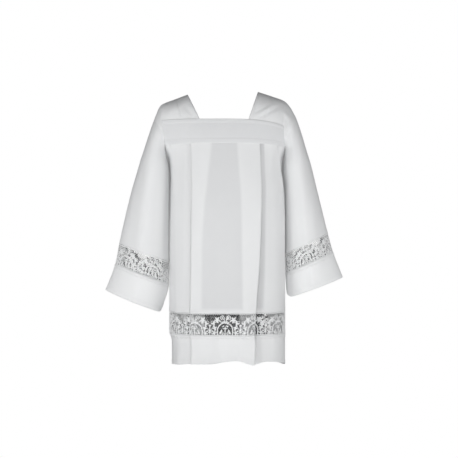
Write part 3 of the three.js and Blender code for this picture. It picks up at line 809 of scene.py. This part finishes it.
def to_thread(x, y, x0, y0, x1, y1):
    dx, dy = x1 - x0, y1 - y0
    t = clamp(((x - x0) * dx + (y - y0) * dy) / (dx * dx + dy * dy))
    return math.hypot(x - x0 - t * dx, y - y0 - t * dy)


def pattern(x, y):
    """How far inside the solid parts of the lace a place lies; negative in the net."""
    inside = abs(y) - HEADING
    for t in THREADS:
        inside = max(inside, t["wide"] / 2 - to_thread(x, y, t["x0"], t["y0"], t["x1"], t["y1"]))
    for r in RINGS:
        dx, dy = x - r["x"], y - r["y"]
        turn = math.degrees(math.atan2(dy, dx))
        while turn < r["start"]:
            turn += 360
        if turn <= r["stop"]:
            inside = max(inside, r["wide"] / 2 - abs(math.hypot(dx, dy) - r["radius"]))
    for leaf in LEAVES:
        dx, dy = x - leaf["x"], y - leaf["y"]
        tilt = math.radians(leaf["tilt"])
        a = (dx * math.sin(tilt) + dy * math.cos(tilt)) / leaf["drawn"]
        b = dx * math.cos(tilt) - dy * math.sin(tilt)
        reach = leaf["size"] * (1 + leaf["depth"] * math.cos(leaf["lobes"] * math.atan2(b, a)))
        inside = max(inside, reach - math.hypot(a, b))
    return inside


@lru_cache(maxsize=None)
def pattern_at(i, j):
    """The pattern at a corner of its cells; each repeat is the mirror image of itself about its middle."""
    i %= LACE_CELLS
    half = min(i, LACE_CELLS - i)
    return pattern(half * CELL, LACE_HALF - j * 2 * LACE_HALF / LACE_ROWS)


class Cloth:
    """A grid of points as a surface, read at a length along it and a depth down it."""

    def __init__(self, grid, flip):
        self.grid, self.flip = grid, flip
        self.normals = normals_of(grid, flip)
        self.along, self.down = lengths_of(grid)
        self.whole, self.tall = self.along[-1], self.down[-1]

    def place(self, u, v, lift):
        """v runs from 0 at the top to 1 at the bottom."""
        c = min(max(bisect_right(self.along, u) - 1, 0), len(self.along) - 2)
        s = clamp((u - self.along[c]) / (self.along[c + 1] - self.along[c]))
        r = clamp(v) * (len(self.grid) - 1)
        i = min(int(r), len(self.grid) - 2)
        t = r - i
        found = []
        for rows in (self.grid, self.normals):
            high = rows[i][c].lerp(rows[i][c + 1], s)
            found.append(high.lerp(rows[i + 1][c].lerp(rows[i + 1][c + 1], s), t))
        return found[0] + found[1].normalized() * lift

    def hidden_columns(self):
        """Whether each column lies behind another layer of the cloth."""
        middle = len(self.grid) // 2
        row = self.grid[middle]
        side = 1 if self.normals[middle][len(row) // 2].y > 0 else -1
        found = []
        for p in row:
            near = [q for q in row if abs(q.x - p.x) < LAYER_WIDE]
            found.append(any(side * (q.y - p.y) > LAYER_APART for q in near))
        return found

    def middle_at(self, x, forwards):
        """The length along the cloth where its outmost layer passes a place across."""
        row = self.grid[len(self.grid) // 2]
        near = min(range(len(row)), key=lambda c: abs(row[c].x - x) * OUTMOST - forwards * row[c].y)
        return self.along[near]


def lace_faces(first, last):
    """Faces of the solid parts of the lace between two columns of cells, as keys of their corners, and the
    place of each corner in cells."""
    faces, places = [], {}

    def key(kind, i, j, x, y):
        places[(kind, i, j)] = (x, y)
        return (kind, i, j)

    def crossing(a, b):
        (i, j), (k, m) = a, b
        fa, fb = pattern_at(i, j), pattern_at(k, m)
        t = clamp(fa / (fa - fb), NO_NEARER, 1 - NO_NEARER)
        return key("h" if j == m else "v", min(i, k), min(j, m), mix(i, k, t), mix(j, m, t))

    for i in range(first, last):
        for j in range(LACE_ROWS):
            corners = [(i, j), (i, j + 1), (i + 1, j + 1), (i + 1, j)]
            state = [pattern_at(*corner) > 0 for corner in corners]
            if not any(state):
                continue
            loop = []
            for n in range(4):
                a, b = corners[n], corners[(n + 1) % 4]
                if state[n]:
                    loop.append(key("n", *a, *a))
                if state[n] != state[(n + 1) % 4]:
                    loop.append(crossing(a, b))
            faces.append(loop)
    return faces, places


def net_threads(first, last):
    """Ends of the threads of the six-sided net between two columns of cells, as lengths along and down from
    the band's top."""
    side = NET_PITCH / math.sqrt(3)
    rows = round(2 * LACE_HALF / (1.5 * side))  # each row of cells takes one and a half sides
    step = 2 * LACE_HALF / rows
    threads = []
    for n in range(math.floor(first * CELL / NET_PITCH), math.ceil(last * CELL / NET_PITCH)):
        for m in range(rows + 1):
            x = (n + 0.5 * (m % 2)) * NET_PITCH
            y = m * step
            low = (x, y + side / 2)
            threads.append(((x, y - side / 2), low))
            threads.append((low, (x + NET_PITCH / 2, y + step - side / 2)))
            threads.append((low, (x - NET_PITCH / 2, y + step - side / 2)))
    kept = []
    for a, b in threads:
        ends = [(mix(a[0], b[0], t), mix(a[1], b[1], t)) for t in (0, 0.5, 1)]
        if any(y < 0 or y > 2 * LACE_HALF for _, y in ends):
            continue
        if not all(first * CELL <= x <= last * CELL for x, _ in ends):
            continue
        half = LACE_REPEAT / 2
        here = [pattern(abs((x + half) % LACE_REPEAT - half), LACE_HALF - y) for x, y in ends]
        if min(here) < NET_UNDER:
            kept.append((a, b))
    return kept


def thread_mesh(name, cloth, threads, lift, inner=None):
    """Threads on a cloth as closed three-sided bars. Each has two ends, as lengths along the cloth and shares
    of its depth, and a width. inner is the material of the side that faces in."""
    points, uvs, solid = [], [], []
    for a, b, wide in threads:
        ends = [cloth.place(u, v, lift) for u, v in (a, b)]
        on = ends[1] - ends[0]
        if on.length > 2 * NET_PITCH or on.length < SHORTEST:
            continue
        out = cloth.place(*a, lift + 1) - ends[0]
        aside = on.cross(out).normalized() * wide / 2
        out *= THREAD_HALF
        n = len(points)
        for end, (u, v) in zip(ends, (a, b)):
            points += [end + out, end - out - aside, end - out + aside]
            uvs += [(u, -v * cloth.tall)] * 3
        solid += [
            [n, n + 1, n + 4, n + 3], [n + 1, n + 2, n + 5, n + 4], [n + 2, n, n + 3, n + 5],
            [n, n + 2, n + 1], [n + 3, n + 4, n + 5],
        ]
    mesh = link_mesh(name, points, solid, LACE_YARN, uvs)
    if inner:
        mesh.data.materials.append(inner)
        for k in range(1, len(solid), 5):
            mesh.data.polygons[k].material_index = 1
    return mesh


def edging(name, cloth):
    """A row of small scallops in raised thread along the upper edge of a hem or cuff."""
    threads = []
    for n in range(int((cloth.whole - EDGING_SPARE) / EDGING_PITCH)):
        middle = EDGING_START + n * EDGING_PITCH
        for radius, wide in EDGING_ARCS:
            places = []
            for k in range(EDGING_STEPS + 1):
                turn = math.pi * k / EDGING_STEPS
                down = EDGING_TOP + radius * EDGING_DRAWN * math.sin(turn)
                places.append((middle + radius * math.cos(turn), down / cloth.tall))
            threads += [(a, b, wide) for a, b in zip(places, places[1:])]
    return thread_mesh(name, cloth, threads, EDGING_LIFT)


def lace_band(name, cloth, middle, net_width, inner):
    """A band of lace as a closed mesh on a cloth, with a motif centred at a length along it. Returns the
    pieces of solid lace and of net, and the flat area of the first."""
    first = math.ceil((BAND_MARGIN - middle) / CELL)
    last = math.floor((cloth.whole - BAND_MARGIN - middle) / CELL)
    faces, places = lace_faces(first, last)
    keys = list(places)
    index = {key: n for n, key in enumerate(keys)}
    points, uvs = [], []
    for raised in (True, False):
        for key in keys:
            x, y = places[key]
            u, v = middle + x * CELL, y / LACE_ROWS
            deep = clamp(pattern_at(key[1], key[2]) / RELIEF_SLOPE) if key[0] == "n" else 0.0
            lift = LACE_FRONT + RELIEF * math.sqrt(deep) if raised else LACE_BACK
            points.append(cloth.place(u, v, lift))
            uvs.append((u, -v * 2 * LACE_HALF))
    half = len(keys)
    solid, edges = [], {}
    for loop in faces:
        ids = [index[key] for key in loop]
        if cloth.flip:
            ids.reverse()
        solid.append(ids)
        solid.append([half + n for n in reversed(ids)])
        for a, b in zip(ids, ids[1:] + ids[:1]):
            if (b, a) in edges:
                del edges[(b, a)]
            else:
                edges[(a, b)] = True
    for a, b in edges:
        solid.append([b, a, half + a, half + b])
    band = link_mesh(name, points, solid, LACE_YARN, uvs)
    area = sum(p.area for p in band.data.polygons) / 2
    if inner:
        band.data.materials.append(inner)
        for k in range(len(faces)):
            band.data.polygons[2 * k + 1].material_index = 1

    hidden = cloth.hidden_columns()
    threads = []
    for a, b in net_threads(first, last):
        column = min(bisect_right(cloth.along, middle + a[0]), len(hidden) - 1)
        ends = [(middle + x, y / (2 * LACE_HALF)) for x, y in (a, b)]
        threads.append((*ends, NET_HIDDEN if hidden[column] else net_width))
    for u in (SEAM_INSET, cloth.whole - SEAM_INSET):
        ends = [(u, k / SEAM_STEPS) for k in range(SEAM_STEPS + 1)]
        threads += [(a, b, SEAM_WIDE) for a, b in zip(ends, ends[1:])]
    return band, thread_mesh(name + "_net", cloth, threads, 0, inner), area


# ------------------------------------------------------------------ materials

WEAVE_PITCH = 0.00055  # of the yarns, in metres
BOW = 0.35  # how far a yarn rises and falls as it crosses others
SLUB, CLOUD = (900, 2), (14, 3)  # noises, as a scale and a detail
SLUB_HEIGHT = 0.8
CLOUD_SHARE = 0.6
DULLER = (0.955, 0.958, 0.965)
# the painted shade of single cloth is made a little bluer
BLUER = 1.005
DENT = 0.00015


def weave_group():
    """Plain weave read from the cloth's UV map: its height, and a slight change of tone."""
    group = bpy.data.node_groups.new("plain_weave", "ShaderNodeTree")
    pitch = group.interface.new_socket("Pitch", in_out="INPUT", socket_type="NodeSocketFloat")
    pitch.default_value = WEAVE_PITCH
    group.interface.new_socket("Height", in_out="OUTPUT", socket_type="NodeSocketFloat")
    group.interface.new_socket("Tone", in_out="OUTPUT", socket_type="NodeSocketFloat")
    nodes, links = group.nodes, group.links
    source = nodes.new("NodeGroupInput")
    out = nodes.new("NodeGroupOutput")
    uv = add_node(group, "UVMap")
    uv.uv_map = "cloth"
    scaled = add_node(group, "VectorMath")
    scaled.operation = "DIVIDE"
    links.new(uv.outputs["UV"], scaled.inputs[0])
    links.new(source.outputs["Pitch"], scaled.inputs[1])
    split = add_node(group, "SeparateXYZ")
    links.new(scaled.outputs[0], split.inputs[0])

    def maths(kind, *values):
        node = add_node(group, "Math")
        node.operation = kind
        for slot, value in zip(node.inputs, values):
            if isinstance(value, float):
                slot.default_value = value
            else:
                links.new(value, slot)
        return node.outputs[0]

    def noise(scale, detail):
        node = add_node(group, "TexNoise", Scale=scale, Detail=detail)
        links.new(uv.outputs["UV"], node.inputs["Vector"])
        return node.outputs["Fac"]

    across, along = (maths("SINE", maths("MULTIPLY", split.outputs[axis], math.pi)) for axis in "XY")
    crowns = maths("MULTIPLY", maths("ABSOLUTE", across), maths("ABSOLUTE", along))
    yarn = maths("ADD", crowns, maths("MULTIPLY", maths("MULTIPLY", across, along), BOW))
    slub = noise(*SLUB)
    links.new(maths("ADD", yarn, maths("MULTIPLY", slub, SLUB_HEIGHT)), out.inputs["Height"])
    cloud = maths("MULTIPLY", noise(*CLOUD), CLOUD_SHARE)
    links.new(maths("ADD", cloud, maths("MULTIPLY", slub, 1 - CLOUD_SHARE)), out.inputs["Tone"])
    return group


WEAVE = weave_group()
SHEEN_ROUGHNESS, SHINE = 0.5, 0.25


def cloth_material(name, white, roughness=0.85, sheen=0.1, pitch=WEAVE_PITCH, bump=0.5, thin=0.80):
    """White cloth. Where the attribute on the points is 0, the colour is multiplied by the given darker
    factor: painted shade for the dark inside seen through single cloth, and a painted shadow beside the box
    pleat.
    """
    material = bpy.data.materials.new(name)
    material.use_nodes = True
    tree = material.node_tree
    link = tree.links.new
    shader = tree.nodes["Principled BSDF"]
    shader.inputs["Roughness"].default_value = roughness
    shader.inputs["Sheen Weight"].default_value = sheen
    shader.inputs["Sheen Roughness"].default_value = SHEEN_ROUGHNESS
    shader.inputs["Specular IOR Level"].default_value = SHINE
    weave = add_node(tree, "Group")
    weave.node_tree = WEAVE
    weave.inputs["Pitch"].default_value = pitch
    unshaded = add_node(tree, "Attribute")
    unshaded.attribute_name = "unshaded"
    turned = add_node(tree, "Math")
    turned.operation = "SUBTRACT"
    turned.inputs[0].default_value = 1.0
    link(unshaded.outputs["Fac"], turned.inputs[1])
    tone = add_node(tree, "Mix")
    # painted shade: the colour is multiplied by the darker factor where the attribute is 0
    single = add_node(tree, "Mix")
    single.blend_type = "MULTIPLY"
    for node in (tone, single):
        node.data_type = "RGBA"
    tone.inputs["A"].default_value = (*(a * b for a, b in zip(white, DULLER)), 1)
    tone.inputs["B"].default_value = (*white, 1)
    single.inputs["B"].default_value = (thin, thin, thin * BLUER, 1)
    link(weave.outputs["Tone"], tone.inputs["Factor"])
    link(turned.outputs[0], single.inputs["Factor"])
    link(tone.outputs["Result"], single.inputs["A"])
    link(single.outputs["Result"], shader.inputs["Base Color"])
    dent = add_node(tree, "Bump", Strength=bump, Distance=DENT)
    link(weave.outputs["Height"], dent.inputs["Height"])
    link(dent.outputs["Normal"], shader.inputs["Normal"])
    return material


# the body's cloth; its last value is the darker factor of its painted shade
COTTON = cloth_material("white_cloth", (0.80, 0.805, 0.805), thin=0.88)
# lighter than the body's cloth, for hems and cuffs: painted light, as though more light reached them
HEM_CLOTH = cloth_material("white_hem_cloth", (0.85, 0.855, 0.855))
# darker than the body's cloth: painted shade, as though less light reached the yoke
YOKE_CLOTH = cloth_material("white_yoke_cloth", (0.765, 0.77, 0.775))
# the inner faces: a little darker than the outer cloth, as painted shade for the inside of the garment
INNER_CLOTH = cloth_material("inner_cloth", (0.76, 0.765, 0.77), 0.9, 0.0)
# near black: painted shade on the inner faces of the hems and of the back's lace, so that the inside looks
# dark through the lace
PAINTED_SHADE_CLOTH = cloth_material("painted_shade_cloth", (0.17, 0.173, 0.176), 0.9, 0.0)
LACE_YARN = cloth_material("white_lace_yarn", (0.84, 0.845, 0.84), 0.75, 0.2, 0.0008, 0.7, 1.0)
SEWING = cloth_material("white_sewing_thread", (0.86, 0.86, 0.855), 0.6, 0.1, 0.0004, 0.6, 1.0)

# ------------------------------------------------------------------ sewing

STITCH = 2.6  # its length
STITCH_PITCH = 3.4
STITCH_HALF = 0.32  # half its thickness
STITCH_MARGIN = 3  # the first and the last lie this far from the ends


def stitches(name, cloth, lines):
    """Lines of lockstitches along a cloth: each stitch is a small flattened grain. Each line is given as its
    depth down the cloth, from 0 to 1, and its height above the middle of the cloth."""
    points, faces, uvs = [], [], []
    for share, lift in lines:
        for n in range(int((cloth.whole - 2 * STITCH_MARGIN) / STITCH_PITCH)):
            u = STITCH_MARGIN + n * STITCH_PITCH
            a = cloth.place(u, share, lift)
            b = cloth.place(u + STITCH, share, lift)
            if not STITCH / 2 <= (b - a).length <= STITCH * 2:
                continue
            top = cloth.place(u + STITCH / 2, share, lift + STITCH_HALF)
            low = cloth.place(u + STITCH / 2, share, lift - STITCH_HALF)
            aside = (b - a).cross(top - low).normalized() * STITCH_HALF
            middle = (top + low) / 2
            k = len(points)
            points += [a, b, top, low, middle + aside, middle - aside]
            uvs += [(u, 0)] * 6
            faces += [
                (k, k + 4, k + 2), (k, k + 2, k + 5), (k, k + 5, k + 3), (k, k + 3, k + 4),
                (k + 1, k + 2, k + 4), (k + 1, k + 5, k + 2), (k + 1, k + 3, k + 5), (k + 1, k + 4, k + 3),
            ]
    return link_mesh(name, points, faces, SEWING, uvs)


# ------------------------------------------------------------------ the garment

YOKE_ROWS, YOKE_COLUMNS = 44, 120
PANEL_ROWS = {"front": 92, "back": 84}
LACE_BAND_ROWS = 14
HEM_ROWS = 24
SLEEVE_ROWS = (64, 70)  # above and below the armhole's lowest place
CUFF_ROWS = 60
ROW_GAP = 0.0035  # between the sleeve, its lace and its cuff
COLUMN_STEP = 8  # only one column in so many is measured for the flat sizes
LACE_COLUMNS = 64
MOTIF = {"front": -2, "back": 0, -1: -361, 1: 288}  # where a motif is centred, on the body and on each sleeve
STEP = 1.6  # how soft the step at the edge of a doubled strip is
YOKE_TALL = YOKE_BOTTOM - YOKE_TOP
PANEL_TALL = LACE_TOP - PANEL_TOP
SINGLE_SOFT, VALLEY_SOFT, SEAM_SOFT = 12, 8, 3  # how gently single cloth gives way to doubled
COVERED = 13.5  # the panel is doubled over this depth above the lace

# The plain pieces: the cloth of the outer and inner faces, how soft the step of a doubled edge is, where the
# lower edge begins to stand proud and by how much, and the same for the upper edge. Places are drops in yokes
# and panels, shares of the depth in hems, and rows in sleeves and cuffs.
KINDS = {
    "yoke": (YOKE_CLOTH, INNER_CLOTH, STEP, (YOKE_BOTTOM - 16, 0.8), (YOKE_TOP + 12, 0.8)),
    "panel": (COTTON, INNER_CLOTH, STEP, (LACE_TOP - 14, 0.5)),
    # the hem's inner face takes the near black painted shade
    "hem": (HEM_CLOTH, PAINTED_SHADE_CLOTH, 0.02, (0.86, 0.5), (0.05, 0.4)),
    "sleeve": (COTTON, INNER_CLOTH, 0.02, (9.87, 0.5)),
    "cuff": (HEM_CLOTH, INNER_CLOTH, 0.03, (11.84, 0.5), (11.06, 0.4)),
}
# Their lines of stitches: how far down the piece, from 0 to 1, and how far out.
STITCHES = {
    "yoke": [(10.2 / YOKE_TALL, 1.35), (1 - 2 / YOKE_TALL, 1.35), (1 - 13.6 / YOKE_TALL, 1.35)],
    "panel": [(1 - 14.6 / PANEL_TALL, 0.62), (1 - 2.2 / PANEL_TALL, 1.0)],
    "hem": [(0.865, 1.0), (0.02, 1.0)],
    "cuff": [(0.85, 1.0), (0.03, 1.0)],
}


def spread(a, b, steps):
    return [round(mix(a, b, k / steps), 3) for k in range(steps + 1)]


def past(place, at, soft):
    """1 once a place is past another and 0 before it, with a soft step between."""
    return ease((place - at) / soft + 0.5)


def proud(places, soft, low, high=None):
    """How far each row stands proud: past one place, and short of the other."""
    def rise(r):
        upper = high[1] * past(high[0], places[r], soft) if high else 0
        return low[1] * past(places[r], low[0], soft) + upper
    return rise


def painted_shade_mask(face, drops):
    """Where painted shade goes on a panel. 0 on the top of the box pleat where it is single, as painted shade
    for the dark inside seen through it, and in the valley at its right, as a painted shadow of the pleat. 1
    where another layer lies behind it, and on the rest of the cloth."""
    rows = []
    for drop in drops:
        folds = front_folds(drop) if face == "front" else read(BACK_FOLDS, "drop", drop)
        doubled = past(drop, LACE_TOP - COVERED, SEAM_SOFT)
        row = []
        for along, out in line_of(face, drop):
            # painted shade: 1 on the single top of the box pleat, and in the valley at its right as a painted
            # shadow of the pleat
            thin = 0.0
            if out > folds["top"] - folds["bow"] - folds["layer"] / 2:
                thin = past(along, folds["under_left"], SINGLE_SOFT)
                thin *= past(folds["under_right"], along, SINGLE_SOFT)
            elif face == "front" and along > folds["box_right"]:
                thin = past(folds["crease_right"], along, VALLEY_SOFT)
            row.append(max(1 - thin, doubled))
        rows.append(row)
    return lambda r, c: rows[r][c]


def trim(piece, node):
    """A net, a line of stitches or scallops that goes with a sheet of cloth."""
    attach(piece, "root")


def declare(piece, node, flat, area, **facts):
    """A sheet of cloth that stands for a solid of the frame. The size it is cut to, in metres, is not used.
    """
    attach(piece, "root")
    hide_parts(node)


def grid_area(grid):
    total = 0.0
    for up, down in zip(grid, grid[1:]):
        for c in range(len(up) - 1):
            total += (up[c + 1] - up[c]).cross(down[c] - up[c]).length / 2
            total += (up[c + 1] - down[c + 1]).cross(down[c] - down[c + 1]).length / 2
    return total * MM * MM


def flat_of(grid):
    """The rectangle that a grid of points is cut from, in metres: its longest row, and its longest column."""
    wide = max(sum((b - a).length for a, b in zip(row, row[1:])) for row in grid)
    tall = 0.0
    for c in range(0, len(grid[0]), COLUMN_STEP):
        column = [row[c] for row in grid]
        tall = max(tall, sum((b - a).length for a, b in zip(column, column[1:])))
    return round(wide * MM, 3), round(tall * MM, 3)


def sew(node, kind, grid, places, flip, unshaded=None, flat=None):
    """A plain piece with its lines of stitches, and its row of scallops if it is a hem or a cuff."""
    outer, inner, *edges = KINDS[kind]
    piece = shell(f"{node}_cloth", grid, flip, outer, proud(places, *edges), unshaded, inner)
    declare(piece, node, flat or flat_of(grid), grid_area(grid))
    cloth = Cloth(grid, flip)
    if kind in STITCHES:
        trim(stitches(f"{node}_stitching", cloth, STITCHES[kind]), node)
    if kind in ("hem", "cuff"):
        trim(edging(f"{node}_edging", cloth), node)


def sew_lace(node, grid, flip, motif, face, net_width):
    """A band of lace and its net. The inner side of a band at the back is coloured near black, as painted
    shade.
    """
    cloth = Cloth(grid, flip)
    middle = cloth.middle_at(motif, -1 if face == "front" else 1)
    inner = PAINTED_SHADE_CLOTH if face == "back" else None
    band, net, area = lace_band(f"{node}_band", cloth, middle, net_width, inner)
    declare(band, node, flat_of(grid), area, with_pieces=[net])
    trim(net, node)


def build_face(face):
    flip = face == "back"
    drops = spread(YOKE_TOP, YOKE_BOTTOM, YOKE_ROWS)
    sew(f"{face}_yoke", "yoke", yoke_grid(face, drops, YOKE_COLUMNS), drops, flip)

    drops = spread(PANEL_TOP, LACE_TOP - SEAM / 2, PANEL_ROWS[face])
    sew(f"{face}_panel", "panel", panel_grid(face, drops), drops, flip, painted_shade_mask(face, drops))

    drops = spread(LACE_TOP + SEAM / 2, LACE_BOTTOM - SEAM / 2, LACE_BAND_ROWS)
    sew_lace(f"{face}_lace", panel_grid(face, drops), flip, MOTIF[face], face, NET_THREAD[face])

    shares = spread(0, 1, HEM_ROWS)
    sew(f"{face}_hem", "hem", hem_grid(face, shares), shares, flip)


def build_sleeve(name, side):
    flip = side < 0
    above, below = SLEEVE_ROWS
    rows = spread(0, OPEN_ROWS, above)[:-1] + spread(OPEN_ROWS, LACE_ROW - ROW_GAP, below)
    sew(f"sleeve_{name}", "sleeve", sleeve_grid(side, rows), rows, flip)

    rows = spread(LACE_ROW + ROW_GAP, CUFF_ROW - ROW_GAP, LACE_BAND_ROWS)
    for face, start, stop in (("front", 0, 0.5), ("back", 0.5, 1)):
        grid = sleeve_grid(side, rows, start, stop, LACE_COLUMNS)
        sew_lace(f"sleeve_lace_{name}_{face}", grid, flip, MOTIF[side], face, NET_THREAD["sleeve"])

    rows = spread(CUFF_ROW + ROW_GAP, EDGE_ROW, CUFF_ROWS)
    grid = sleeve_grid(side, rows)
    flat = (round(section(side, EDGE_ROW)[1][-1] * MM, 3), flat_of(grid)[1])
    sew(f"cuff_{name}", "cuff", grid, rows, flip, flat=flat)


FLOOR_HEIGHT, FLOOR_HALF = -1.34, 1.6  # metres
FLOOR_GREY, FLOOR_ROUGHNESS = 0.8, 0.9


def build_floor():
    """A plain pale floor below the garment, which is seen as plain white."""
    mesh = bpy.data.meshes.new("floor")
    corners = [(-1, -1), (1, -1), (1, 1), (-1, 1)]
    mesh.from_pydata([(x * FLOOR_HALF, y * FLOOR_HALF, FLOOR_HEIGHT) for x, y in corners], [], [(0, 1, 2, 3)])
    floor = show("floor", mesh)
    material = bpy.data.materials.new("floor")
    material.use_nodes = True
    tree = material.node_tree
    shader = tree.nodes["Principled BSDF"]
    shader.inputs["Base Color"].default_value = (FLOOR_GREY, FLOOR_GREY, FLOOR_GREY, 1)
    shader.inputs["Roughness"].default_value = FLOOR_ROUGHNESS
    glow = add_node(tree, "Emission", Color=WHITE)
    tree.links.new(seen_apart(tree, shader, glow), tree.nodes["Material Output"].inputs["Surface"])
    mesh.materials.append(material)


build_floor()
build_face("front")
build_face("back")
build_sleeve("left", -1)
build_sleeve("right", 1)
